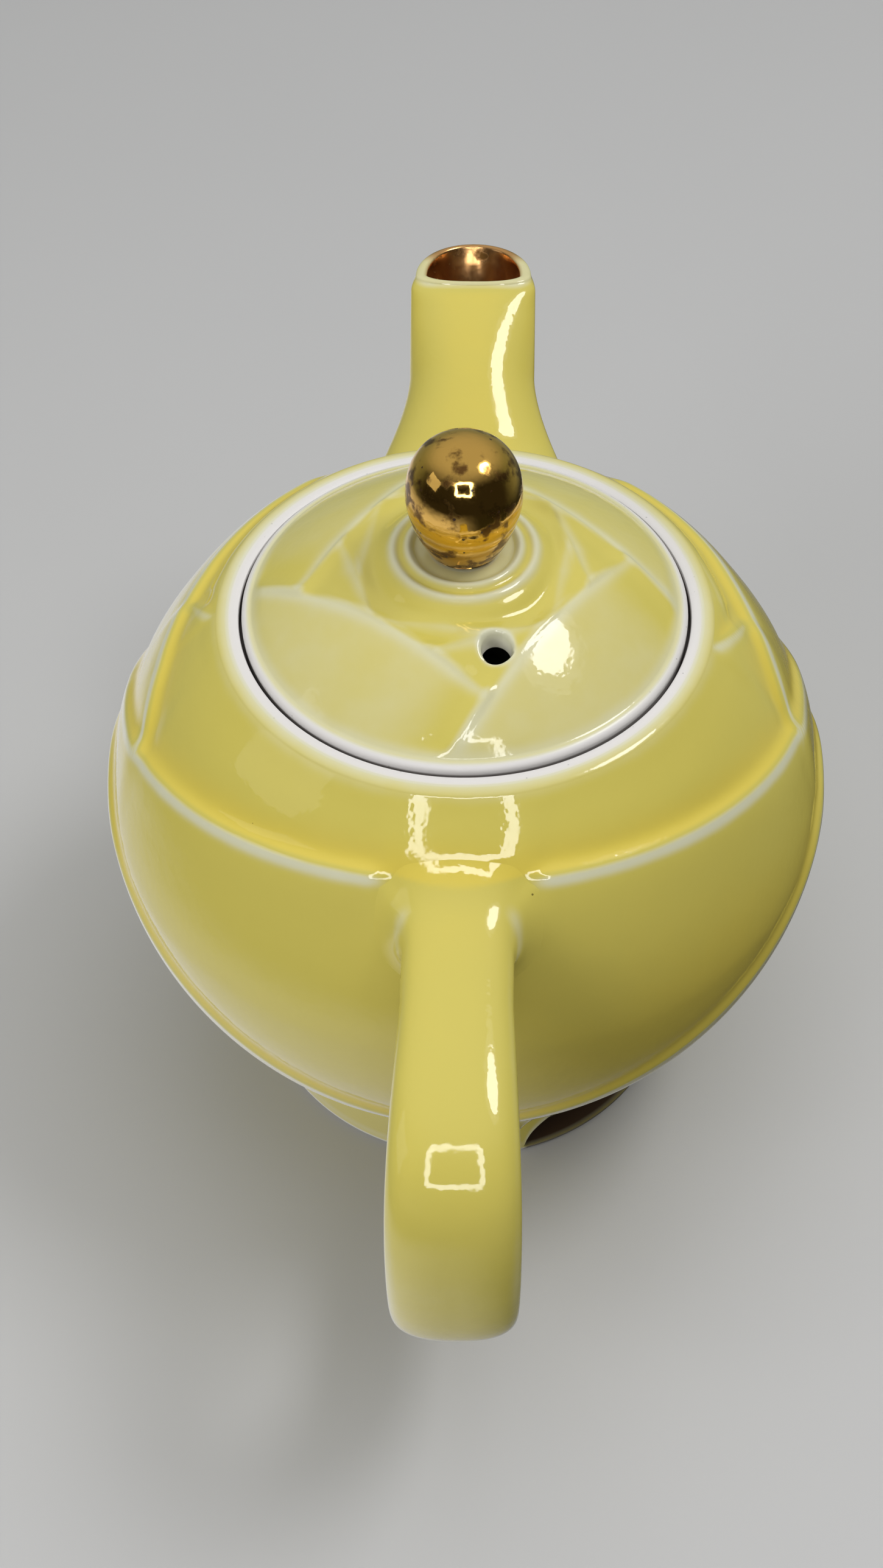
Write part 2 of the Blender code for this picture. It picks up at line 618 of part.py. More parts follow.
def make_lid_cover(parent):
    """Domed cover with a rounded edge, a flat seat, a vent and a hole for the knob's tenon."""
    hole = TENON_RADIUS + FIT_GAP
    seat_inside = FLANGE_RADIUS - 2 * FLANGE_WALL
    edge = LID_RADIUS - LID_EDGE_ROUND
    outline = [(LID_RADIUS, 0.0)]
    for t in np.linspace(0, math.pi / 2, 5):
        outline.append((edge + LID_EDGE_ROUND * math.cos(t),
                        lid_top(edge) - LID_EDGE_ROUND * (1 - math.sin(t))))
    crown = np.linspace(edge, RING_RADII[0] + 2 * RING_WIDTH, 7)[1:]
    rings = [ring + step * RING_WIDTH for ring in RING_RADII for step in (1.0, 0.0, -1.0)]
    outline += [(r, lid_top(r)) for r in [*crown, *rings]]
    outline += [(KNOB_FOOT_RADIUS + FIT_GAP, knob_seat()), (hole, knob_seat())]
    outline += [(hole, knob_seat() - LID_WALL)]
    outline += [(r, max(lid_top(r) - LID_WALL, 0.0)) for r in np.linspace(hole, seat_inside, 7)[1:]]
    outline.append((seat_inside, 0.0))
    cover = turned("lid_cover", parent, outline, LID_TURNS, material("lid_yellow", YELLOW, 0.12), True)
    height = LID_EDGE_HEIGHT + LID_CROWN
    vent = [[(VENT_X + VENT_RADIUS * math.cos(a), VENT_Y + VENT_RADIUS * math.sin(a), z)
             for a in round_turn(CUT_SIDES)] for z in (0.0, height)]
    cut(cover, piece("vent_cut", parent, *prism(vent)))


def make_lid_flange(parent):
    """Locating skirt under the cover, its lower edge eased."""
    inside = FLANGE_RADIUS - FLANGE_WALL
    outline = [(FLANGE_RADIUS, -FIT_GAP), (inside, -FIT_GAP), (inside, -FLANGE_DEPTH),
               (FLANGE_RADIUS - FLANGE_WALL / 3, -FLANGE_DEPTH),
               (FLANGE_RADIUS, FLANGE_WALL / 2 - FLANGE_DEPTH)]
    turned("lid_flange", parent, outline, LID_TURNS, material("flange_bare", WHITE, 0.55), True)


def make_lid_knob(parent):
    """Egg-shaped knob on a short neck, with a tenon into the cover."""
    seat = knob_seat() + FIT_GAP
    top = seat + KNOB_HEIGHT
    widest = top - KNOB_CROWN
    neck = seat + KNOB_NECK_HEIGHT
    base = (1 - (KNOB_BASE_RADIUS / KNOB_RADIUS) ** KNOB_TAPER_POWER) ** (1 / KNOB_TAPER_POWER)
    depth = (widest - neck) / base
    outline = [(0, seat - TENON_LENGTH), (TENON_RADIUS, seat - TENON_LENGTH), (TENON_RADIUS, seat),
               (KNOB_FOOT_RADIUS, seat), (KNOB_NECK_RADIUS, (seat + neck) / 2)]
    for t in np.linspace(base, 0, 6):
        outline.append((KNOB_RADIUS * (1 - t ** KNOB_TAPER_POWER) ** (1 / KNOB_TAPER_POWER), widest - depth * t))
    across, up = super_round(np.linspace(0, math.pi / 2, 9)[1:-1], KNOB_CROWN_POWER)
    outline += list(zip(KNOB_RADIUS * across, widest + KNOB_CROWN * up))
    outline.append((0, top))
    turned("lid_knob", parent, outline, KNOB_TURNS, material("knob_gold", GOLD, 0.15, 1.0), False)


def empty(name, parent, location):
    """An axis that pieces hang on."""
    axis = bpy.data.objects.new(name, None)
    axis.location = location
    axis.parent = parent
    bpy.context.collection.objects.link(axis)
    return axis


def main():
    for item in list(bpy.data.objects):
        bpy.data.objects.remove(item)
    pot_axis = empty("pot_axis", None, (0, AXIS_Y, 0))
    make_pot_body(pot_axis)
    make_foot_ring(pot_axis)
    make_strainer(pot_axis)
    make_spout(pot_axis)
    make_handle(pot_axis)
    lid_axis = empty("lid_axis", pot_axis, (0, 0, SEAT_HEIGHT))
    make_lid_cover(lid_axis)
    make_lid_flange(lid_axis)
    make_lid_knob(lid_axis)


main()
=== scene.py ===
"""Glazed surfaces of a teapot with rose-petal relief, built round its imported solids.

Metres, +Z up, the spout along +Y and the handle along -Y. Angles round the pot are in degrees
from the handle towards +X. Every surface is worked out as whole arrays about the pot's own axis,
which stands a little to one side of the origin, and is moved there when its mesh is made.
"""

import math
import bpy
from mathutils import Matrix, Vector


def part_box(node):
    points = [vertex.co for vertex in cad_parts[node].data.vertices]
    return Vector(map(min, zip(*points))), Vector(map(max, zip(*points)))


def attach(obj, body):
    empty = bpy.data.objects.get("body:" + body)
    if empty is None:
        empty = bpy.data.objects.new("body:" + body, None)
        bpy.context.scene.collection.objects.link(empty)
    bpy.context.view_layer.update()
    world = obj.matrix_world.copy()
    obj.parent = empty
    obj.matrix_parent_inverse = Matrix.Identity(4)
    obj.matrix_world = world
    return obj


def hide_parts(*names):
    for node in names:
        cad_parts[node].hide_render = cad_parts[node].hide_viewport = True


bl_info = {
    "name": "Petal teapot",
    "version": (1, 0, 0),
    "blender": (4, 5, 0),
    "location": "View3D > Sidebar > Teapot",
    "description": "Builds the glazed surfaces of a petal teapot round its solids",
    "category": "Add Mesh",
}

import bpy
import numpy as np
from bpy.props import FloatProperty, FloatVectorProperty, PointerProperty
from bpy.types import Operator, Panel, PropertyGroup
from mathutils import Matrix

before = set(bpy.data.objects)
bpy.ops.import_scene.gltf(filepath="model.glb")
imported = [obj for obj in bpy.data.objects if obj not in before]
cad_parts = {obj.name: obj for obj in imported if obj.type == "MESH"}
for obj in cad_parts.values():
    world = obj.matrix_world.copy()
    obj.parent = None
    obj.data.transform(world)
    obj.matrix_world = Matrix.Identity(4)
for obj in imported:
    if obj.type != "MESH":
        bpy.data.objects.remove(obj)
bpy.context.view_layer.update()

MM = 0.001
AXIS_Y = (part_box("foot_ring")[0].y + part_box("foot_ring")[1].y) / 2

# Grid sizes
POT_COLUMNS = 400
POT_ROWS = (46, 72, 62)     # underside to lip, lip to upper edge, upper edge to rim
POT_INNER_ROWS = 48
LID_COLUMNS = 360
STRAP_COLUMNS = 96
SPOUT_COLUMNS = 144
KNOB_COLUMNS = 128
FOOT_COLUMNS = 360
COLLAR_ROWS = 8

JOINT_GAP = 0.3 * MM        # between pieces that rest on each other or are luted together
SHARP_ANGLE = 42            # edges that turn by more degrees than this stay sharp

# Petal edges on the pot: degrees and millimetres; pairs are left and right of the handle
CORNER_ANGLES = (73.5, 80.5)
CORNER_TOP = 102.3
FRONT_TOP = 113.4
FRONT_POWERS = (2.0, 2.2)
BACK_RISES = (21.0, 17.8)
BACK_TURNS = (22.0, 11.5)
TAIL_ANGLES = (100.0, 122.0)
LIP_LOW = 44.0
LIP_HIGH = 84.0
LIP_POWER = 1.4
LIP_SOFT_ANGLE = 14.0
# Short edges on the shoulder: angle and height at both ends, strength, and 1 for a face below it
SHOULDER_EDGES = (
    (76.0, 126.4, 98.0, 116.8, 0.75, 1),
    (88.0, 122.2, 114.0, 126.3, 0.45, -1),
    (-86.0, 125.6, -100.0, 117.6, 0.65, 1),
    (-91.0, 124.6, -110.0, 126.2, 0.40, -1),
)
# The edges fade this far from the plane x = 0, beside the handle and beside the spout
HANDLE_CLEAR = 11.5 * MM
SPOUT_CLEAR = 28 * MM
CLEAR_FADE = 6 * MM
# Fullness of the front shoulder: its rise, and its place and width as shares of the way to the rim
FULL_RISE = 0.34 * MM
FULL_PLACE = 0.6
FULL_WIDTH = 0.28
# Middle and reach of the patch right of the handle where the glaze lies deeper and painted shade darkens the
# belly
DEEP_SHADE_ANGLE = 42
DEEP_SHADE_HEIGHT = 76 * MM
DEEP_SHADE_REACH = (30, 24 * MM)
# Half the patch of the pot's grid that gives way to the port behind the spout
PORT_BLOCK = 17 * MM


# Properties

def size(name, default, description):
    """A length that a user would change."""
    return FloatProperty(name=name, description=description, default=default, min=0.0,
                         precision=4, subtype="DISTANCE", unit="LENGTH")


def tint(name, default, description):
    """A colour that a user would change."""
    return FloatVectorProperty(name=name, description=description, default=default,
                               min=0.0, max=1.0, size=3, subtype="COLOR")


def share(name, default, description):
    """A plain number between nought and one."""
    return FloatProperty(name=name, description=description, default=default, min=0.0, max=1.0)


class PotSizes(PropertyGroup):
    belly_radius: size("Belly radius", 0.0750, "Radius at the widest place")
    belly_height: size("Belly height", 0.0784, "Height of the widest place")
    rim_height: size("Rim height", 0.1260, "Height of the flat rim")
    base_lift: size("Base lift", 0.0044, "Lowest point of the underside above the table")
    wall: size("Wall", 0.0048, "Thickness of the shell")
    rim_width: size("Rim width", 0.0040, "Bare ring round the lid")
    rim_round: size("Rim round", 0.0012, "Rounding of the rim's outer edge")
    ledge_width: size("Ledge width", 0.0051, "Ledge that carries the lid")
    gallery_depth: size("Gallery depth", 0.0038, "Rim down to the ledge")
    gallery_thickness: size("Gallery thickness", 0.0042, "Thickness of the ledge")
    port_radius: size("Port radius", 0.0130, "Opening behind the spout")
    edge_rise: size("Edge rise", 0.0008, "Petal edge above the plain wall")
    valley_depth: size("Valley depth", 0.0008, "Hollow behind a petal edge")


class FootSizes(PropertyGroup):
    radius: size("Radius", 0.0468, "Radius on the table")
    flare: size("Flare", 0.0020, "How much narrower the foot is under the pot")
    wall: size("Wall", 0.0052, "Thickness of the ring")
    bevel: size("Bevel", 0.0008, "Eased lower edges")
    window_half_width: size("Window half width", 0.0179, "Half the arched opening's width")
    window_height: size("Window height", 0.0115, "Top of the arch above the table")
    window_sill: size("Window sill", 0.0015, "Strip under the arch")


class SpoutSizes(PropertyGroup):
    reach: size("Reach", 0.1210, "Pot axis to the far lip")
    edge_reach: size("Edge reach", 0.1025, "Pot axis to the straight near edge of the mouth")
    edge_rise: size("Edge rise", 0.0013, "Near edge above the pot's rim")
    lip_fall: size("Lip fall", 0.0025, "Far lip below the near edge")
    top_drop: size("Top drop", 0.0185, "Back's root below the rim")
    low_drop: size("Low drop", 0.0239, "Keel's root below the belly")
    neck_width: size("Neck width", 0.0282, "Width along the neck")
    root_width: size("Root width", 0.0540, "Width at the pot")
    mouth_width: size("Mouth width", 0.0282, "Width at the mouth")
    wall: size("Wall", 0.0031, "Thickness of the spout")
    side_lip: size("Side lip", 0.0026, "Thickness of the lip at the sides")
    end_lip: size("End lip", 0.0013, "Thickness of the lip at its near edge and far end")
    fillet: size("Fillet", 0.0070, "Rounding where the spout meets the pot")
    gilding: size("Gilding", 0.0085, "How far the gold goes into the mouth")


class HandleSizes(PropertyGroup):
    reach: size("Reach", 0.1240, "Pot axis to the outermost point")
    top_drop: size("Top drop", 0.0195, "Upper root below the rim")
    low_drop: size("Low drop", 0.0419, "Lower root below the belly")
    bend_rise: size("Bend rise", 0.0040, "Outermost point above the middle of the roots")
    thickness: size("Thickness", 0.0116, "Thickness of the strap")
    root_width: size("Root width", 0.0208, "Width at the pot")
    bend_width: size("Bend width", 0.0247, "Width at the bend")
    fillet: size("Fillet", 0.0082, "Rounding where the handle meets the pot")


class LidSizes(PropertyGroup):
    radius: size("Radius", 0.0440, "Radius of the cover")
    clearance: size("Clearance", 0.0006, "Gap round the cover")
    edge_height: size("Edge height", 0.0036, "Seat to the rounded edge")
    edge_round: size("Edge round", 0.0018, "Rounding of the edge")
    crown: size("Crown", 0.0165, "Dome above the edge")
    wall: size("Wall", 0.0042, "Thickness of the cover")
    petal_rise: size("Petal rise", 0.00055, "Petal edges above the dome")
    petal_depth: size("Petal depth", 0.00055, "Hollow inside a petal edge")
    ring_rise: size("Ring rise", 0.0009, "Rings round the knob")
    skirt_depth: size("Skirt depth", 0.0140, "Depth of the skirt below the seat")
    skirt_wall: size("Skirt wall", 0.0032, "Thickness of the skirt")
    skirt_clearance: size("Skirt clearance", 0.0008, "Gap round the skirt")
    vent_radius: size("Vent radius", 0.0029, "Steam vent")


class KnobSizes(PropertyGroup):
    radius: size("Radius", 0.01115, "Widest radius")
    height: size("Height", 0.0253, "Seat to the top")
    crown: size("Crown", 0.0125, "Widest place to the top")
    base_radius: size("Base radius", 0.0074, "Where the egg turns in to its neck")
    neck_radius: size("Neck radius", 0.0062, "Narrowest radius")
    neck_height: size("Neck height", 0.0010, "Seat to the egg's underside")
    foot_radius: size("Foot radius", 0.0066, "Radius on the lid")


class GlazeLook(PropertyGroup):
    thin: tint("Thin", (0.64, 0.63, 0.46), "Glaze that has run off an edge")
    plain: tint("Plain", (0.58, 0.50, 0.107), "Glaze of even thickness")
    pooled: tint("Pooled", (0.68, 0.545, 0.088), "Glaze that has gathered in a hollow")
    bare: tint("Bare", (0.68, 0.66, 0.65), "Clay without glaze")
    clear: tint("Clear", (0.76, 0.74, 0.66), "Clear glaze inside the pot")
    # Near-black tint for iron specks and pits, and for painted shade in the gap round the lid, inside the
    # foot, under the pot and on the belly's right
    rust: tint("Rust", (0.040, 0.018, 0.006), "Iron specks and the burnt edge of the foot")
    mottle: share("Mottle", 0.16, "How uneven the glaze lies")


class GoldLook(PropertyGroup):
    bright: tint("Bright", (0.76, 0.46, 0.11), "Burnished gold")
    dull: tint("Dull", (0.17, 0.085, 0.024), "Rubbed gold")
    copper: tint("Copper", (0.72, 0.40, 0.16), "Gold inside the spout")
    wear: share("Wear", 0.27, "How much of the gold is rubbed")


class StageLook(PropertyGroup):
    floor: tint("Floor", (0.48, 0.48, 0.49), "Colour of the floor")
    floor_size: size("Floor size", 3.0, "Half the floor's width")


class PetalTeapot(PropertyGroup):
    pot: PointerProperty(type=PotSizes)
    foot: PointerProperty(type=FootSizes)
    spout: PointerProperty(type=SpoutSizes)
    handle: PointerProperty(type=HandleSizes)
    lid: PointerProperty(type=LidSizes)
    knob: PointerProperty(type=KnobSizes)
    glaze: PointerProperty(type=GlazeLook)
    gold: PointerProperty(type=GoldLook)
    stage: PointerProperty(type=StageLook)


# Arrays

def smooth_step(x):
    """0 below 0, 1 above 1, and 3x^2 - 2x^3 between."""
    x = np.clip(x, 0.0, 1.0)
    return x * x * (3 - 2 * x)


def bell(x, width):
    """exp(-(x / width)^2)."""
    return np.exp(-(x / width) ** 2)


def bezier(a, b, c, d, t):
    """Points of a cubic curve at the values t, one row each."""
    t = np.asarray(t, float)[..., None]
    return a * (1 - t) ** 3 + 3 * b * t * (1 - t) ** 2 + 3 * c * t ** 2 * (1 - t) + d * t ** 3


def bezier_heading(a, b, c, d, t):
    """Unit tangents of the same curve."""
    t = np.asarray(t, float)[..., None]
    ahead = (b - a) * (1 - t) ** 2 + 2 * (c - b) * t * (1 - t) + (d - c) * t ** 2
    return ahead / np.linalg.norm(ahead, axis=-1, keepdims=True)


def super_round(turn, power):
    """Cosine and sine of a rounded rectangle: signed powers 2 / power of the circle's."""
    c, s = np.cos(turn), np.sin(turn)
    return np.sign(c) * np.abs(c) ** (2 / power), np.sign(s) * np.abs(s) ** (2 / power)


def even_turn(section, count, samples=4000):
    """Turns that space the points of a closed section evenly along its length."""
    turn = np.linspace(0, 2 * math.pi, samples)
    x, y = section(turn)
    length = np.concatenate([[0], np.cumsum(np.hypot(np.diff(x), np.diff(y)))])
    return np.interp(np.linspace(0, length[-1], count, endpoint=False), length, turn)


def gathered(count):
    """Shares from just over 0 to 1, closer together at both ends: t - 0.7 sin(2 pi t) / (2 pi)."""
    t = np.linspace(0, 1, count + 1)[1:]
    return t - 0.7 * np.sin(2 * math.pi * t) / (2 * math.pi)


def round_axis(degrees, radius, height):
    """Points at an angle round the pot, from the handle towards +X."""
    a = np.radians(degrees)
    radius, height, a = np.broadcast_arrays(radius, height, a)
    return np.stack([radius * np.sin(a), -radius * np.cos(a), height], -1)


def columns(count):
    """Angles of a grid's columns."""
    return np.linspace(0, 360, count, endpoint=False)


def turned(degrees, outline):
    """Points of an outline of radii and heights, turned about the axis: one row for each of its points."""
    return round_axis(degrees, outline[:, :1], outline[:, 1:])


def find_root(outside, low, high, steps=45):
    """Halve the way between low and high, per entry, to where outside() turns from below nought."""
    low, high = np.array(low, float), np.array(high, float)
    for _ in range(steps):
        middle = (low + high) / 2
        inside = outside(middle) < 0
        low, high = np.where(inside, middle, low), np.where(inside, high, middle)
    return (low + high) / 2


# Meshes

def grid_quads(ids, join_rows=False):
    """Quads of a grid of vertex numbers whose columns close on themselves."""
    if join_rows:
        ids = np.concatenate([ids, ids[:1]])
    ahead = np.roll(ids, -1, axis=1)
    return np.stack([ids[:-1], ahead[:-1], ahead[1:], ids[1:]], -1)


def bridge(loop_a, turn_a, loop_b, turn_b):
    """Triangles between two closed loops that go the same way round, merged in order of turn."""
    order_a, order_b = np.argsort(turn_a), np.argsort(turn_b)
    a, b = loop_a[order_a], loop_b[order_b]
    ta, tb = turn_a[order_a], turn_b[order_b]
    at_b = np.searchsorted(tb, ta, side="right") - 1
    at_a = np.searchsorted(ta, tb, side="left") - 1
    first = np.stack([np.roll(a, 1), a, b[at_b]], -1)
    second = np.stack([np.roll(b, 1), a[at_a], b], -1)
    return np.concatenate([first, second])


def near_block(rows, row, half, sides):
    """Block of a grid: the rows within half of one row, between two columns."""
    near = np.flatnonzero(np.abs(rows - row) < half)
    return (near[0], near[-1]), sides


def fan(ring, centre):
    """Triangles from a closed ring to one point."""
    return np.stack([ring, np.roll(ring, -1), np.full_like(ring, centre)], -1)


class Surface:
    """Points, layers of values on them and faces, gathered for one mesh."""

    def __init__(self):
        self.points = np.zeros((0, 3))
        self.layers = {}
        self.quads = []
        self.triangles = []

    def add(self, points, **layers):
        """Add points of any array shape; return their numbers in that shape."""
        shape = points.shape[:-1]
        first = len(self.points)
        count = int(np.prod(shape))
        self.points = np.concatenate([self.points, points.reshape(-1, 3)])
        for name in sorted(set(layers) | set(self.layers)):
            old = self.layers.get(name, np.zeros(first))
            new = np.broadcast_to(layers.get(name, 0.0), shape).reshape(-1)
            self.layers[name] = np.concatenate([old, new])
        return np.arange(first, first + count).reshape(shape)

    def faces(self, quads):
        """Add quads."""
        self.quads.append(quads.reshape(-1, 4))

    def wedges(self, triangles, flip=False):
        """Add triangles, turned round on request."""
        self.triangles.append(triangles.reshape(-1, 3)[:, ::-1 if flip else 1])

    def band(self, *rows):
        """Add the quads between rows of vertex numbers, taken one after another."""
        self.faces(grid_quads(np.concatenate(rows)))

    def cap(self, ring, point, flip=False, **layers):
        """Close a ring with one new point."""
        self.wedges(fan(ring, self.add(np.array([point]), **layers)[0]), flip)

    def pierce(self, sheets, axes, centre, radius, flip=False):
        """Open a round hole through two sheets and join its edges. Each sheet is a grid of vertex
        numbers, the block of it that gives way, lift() to put flat points on it, and layers()."""
        edges = []
        for ids, block, lift, layers in sheets:
            self.open_quads(ids, block)
            edges += self.collar(ids, block, axes, centre, radius, lift, layers)
        self.wedges(bridge(*edges), flip)

    def collar(self, ids, block, axes, centre, radius, lift, layers):
        """Rings of points from the border of a block of the grid ids to the edge of a round hole in
        it; lift() puts them on the sheet. Returns the edge ring and its turns."""
        (r0, r1), (c0, c1) = block
        loop = np.concatenate([ids[r0, c0:c1], ids[r0:r1, c1], ids[r1, c1:c0:-1], ids[r1:r0:-1, c0]])
        flat = self.points[loop][:, axes] - centre
        turn = np.arctan2(flat[:, 1], flat[:, 0])
        edge = radius * np.stack([np.cos(turn), np.sin(turn)], -1)
        part = np.linspace(0, 1, COLLAR_ROWS + 1)[1:, None, None]
        points = lift(flat * (1 - part) + edge * part + centre)
        rings = self.add(points, **layers(points))
        self.band(loop[None], rings)
        return rings[-1], turn

    def open_quads(self, ids, block):
        """Quads of the grid apart from the block."""
        (r0, r1), (c0, c1) = block
        keep = np.ones((ids.shape[0] - 1, ids.shape[1]), bool)
        keep[r0:r1, c0:c1] = False
        self.faces(grid_quads(ids)[keep])

    def outward(self):
        """Turn every face round if the closed surface's signed volume is below nought."""
        quads = np.concatenate(self.quads)
        wedges = np.concatenate([quads[:, [0, 1, 2]], quads[:, [0, 2, 3]], *self.triangles])
        a, b, c = (self.points[wedges[:, k]] for k in range(3))
        if np.einsum("ij,ij->", a, np.cross(b, c)) < 0:
            self.quads = [q[:, ::-1] for q in self.quads]
            self.triangles = [t[:, ::-1] for t in self.triangles]

    def mesh(self, name):
        """The Blender mesh, moved to the pot's axis, smooth but for its sharp edges."""
        self.outward()
        quads = np.concatenate(self.quads)
        triangles = np.concatenate([np.zeros((0, 3), int), *self.triangles])
        corners = np.concatenate([quads.reshape(-1), triangles.reshape(-1)])
        sizes = np.concatenate([np.full(len(quads), 4), np.full(len(triangles), 3)])
        starts = np.concatenate([[0], np.cumsum(sizes)[:-1]])
        mesh = bpy.data.meshes.new(name)
        mesh.vertices.add(len(self.points))
        mesh.vertices.foreach_set("co", (self.points + [0, AXIS_Y, 0]).astype(np.float32).ravel())
        mesh.loops.add(len(corners))
        mesh.loops.foreach_set("vertex_index", corners.astype(np.int32))
        mesh.polygons.add(len(sizes))
        mesh.polygons.foreach_set("loop_start", starts.astype(np.int32))
        for layer, values in self.layers.items():
            attribute = mesh.attributes.new(layer, "FLOAT", "POINT")
            attribute.data.foreach_set("value", values.astype(np.float32))
        mesh.update(calc_edges=True)
        if mesh.validate():
            raise RuntimeError(f"{name} has faces that Blender had to drop")
        mesh.shade_smooth()
        mesh.set_sharp_from_angle(angle=math.radians(SHARP_ANGLE))
        return mesh


def add_piece(name, surface, material, body, node):
    """Put a finished surface in the scene in place of its plain solid."""
    mesh = surface.mesh(name)
    mesh.materials.append(material)
    piece = bpy.data.objects.new(name, mesh)
    bpy.context.scene.collection.objects.link(piece)
    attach(piece, body)
    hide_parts(node)


# The pot's plain wall and its petals

class PlainWall:
    """The pot's plain wall. Above the belly r = R sqrt(1 - k u^1.607), u being the share of the way
    to the rim and k set by the rim's radius; below it r = R sqrt(1 - v^2.017), v being the share of
    the way down to the underside's lowest point."""

    SHOULDER_POWER = 1.607
    BASE_POWER = 2.017

    def __init__(self, look, samples=600):
        pot, lid = look.pot, look.lid
        self.belly, self.belly_z, self.base_z = pot.belly_radius, pot.belly_height, pot.base_lift
        self.rim_z = pot.rim_height
        self.gallery = lid.radius + lid.clearance
        self.rim = self.gallery + pot.rim_width
        self.mouth = self.gallery - pot.ledge_width
        self.ledge_z = pot.rim_height - pot.gallery_depth
        self.seat_z = self.ledge_z + JOINT_GAP
        low = self.belly * np.sin(np.linspace(0, math.pi / 2, samples))
        high = np.linspace(self.belly_z, self.rim_z, samples)[1:]
        self.r = np.concatenate([low, self.radius(high)])
        self.z = np.concatenate([self.underside(low), high])
        self.s = np.concatenate([[0], np.cumsum(np.hypot(np.diff(self.r), np.diff(self.z)))])
        dr, dz = np.gradient(self.r, self.s), np.gradient(self.z, self.s)
        self.out_r, self.out_z = dz / np.hypot(dr, dz), -dr / np.hypot(dr, dz)

    def radius(self, height):
        """Radius of the outside at a height."""
        up = np.clip((height - self.belly_z) / (self.rim_z - self.belly_z), 0, 1)
        down = np.clip((self.belly_z - height) / (self.belly_z - self.base_z), 0, 1)
        narrowing = 1 - (self.rim / self.belly) ** 2
        shoulder = 1 - narrowing * up ** self.SHOULDER_POWER
        return self.belly * np.sqrt(shoulder * (1 - down ** self.BASE_POWER))

    def underside(self, radius):
        """Height of the underside at a radius."""
        part = np.clip(1 - (radius / self.belly) ** 2, 0, 1) ** (1 / self.BASE_POWER)
        return self.belly_z - (self.belly_z - self.base_z) * part

    def along(self, height):
        """Length up the wall at a height."""
        return np.interp(height, self.z, self.s)

    def at(self, length, inset=0.0):
        """Radius and height at a length up the wall, and a little inside it."""
        r = np.interp(length, self.s, self.r) - inset * np.interp(length, self.s, self.out_r)
        z = np.interp(length, self.s, self.z) - inset * np.interp(length, self.s, self.out_z)
        return r, z

    def outside(self, points):
        """How far points lie outside the wall, square to the axis."""
        return np.hypot(points[..., 0], points[..., 1]) - self.radius(points[..., 2])


def sided(angle, pair):
    """The left or the right value of a pair, by the angle's sign."""
    return np.where(angle < 0, pair[0], pair[1])


def front_edge(angle):
    """Height of the front petal's edge: 113.4 - 11.1 (a / corner)^p mm, running on past the corner."""
    part = np.abs(angle) / sided(angle, CORNER_ANGLES)
    return (FRONT_TOP - (FRONT_TOP - CORNER_TOP) * part ** sided(angle, FRONT_POWERS)) * MM


def back_edge(angle):
    """Height of the back petals' edge: 102.3 + h (1 - exp(-(a - corner) / w)) mm."""
    past = np.clip(np.abs(angle) - sided(angle, CORNER_ANGLES), -8, None)
    return (CORNER_TOP + sided(angle, BACK_RISES) * (1 - np.exp(-past / sided(angle, BACK_TURNS)))) * MM


def lower_lip(angle):
    """Height of the lower petals' lip: 44 mm under the handle and the spout, 84 mm at the sides."""
    side = np.abs(90 - np.abs(angle))
    fall = (np.hypot(side, LIP_SOFT_ANGLE) - LIP_SOFT_ANGLE)
    fall = fall / (math.hypot(90, LIP_SOFT_ANGLE) - LIP_SOFT_ANGLE)
    return (LIP_LOW + (LIP_HIGH - LIP_LOW) * np.clip(1 - fall, 0, None) ** LIP_POWER) * MM


def petal_edge(below, rise, depth, width=1.0):
    """Relief, thin glaze and pooled glaze across a petal's edge; below is the distance onto its face.
    The face dies away as a bell, the edge drops as a narrower bell into a broad hollow behind it."""
    face = rise * bell(below, 9 * MM * width)
    hollow = depth / (1 + (below / (6.5 * MM * width)) ** 2)
    behind = (rise + depth) * bell(below, 2.4 * MM * width) - hollow
    relief = np.where(below >= 0, face, behind)
    thin = bell(below - 0.2 * MM, np.where(below > 0.2 * MM, 1.6, 0.9) * MM * width)
    back = np.clip(-below, 0, None)
    pooled = smooth_step((back - 0.6 * MM * width) / (1.5 * MM * width)) * bell(back, 7.5 * MM * width)
    return relief, thin, pooled


def edge_distance(wall, line, angle, length):
    """Distance below an edge line and square to it: the length along the wall over the root of one
    plus the line's slope squared."""
    here = wall.along(line(angle))
    rise = wall.along(line(angle + 0.3)) - wall.along(line(angle - 0.3))
    slope = rise / (wall.at(here)[0] * math.radians(0.6))
    return (here - length) / np.sqrt(1 + slope ** 2)


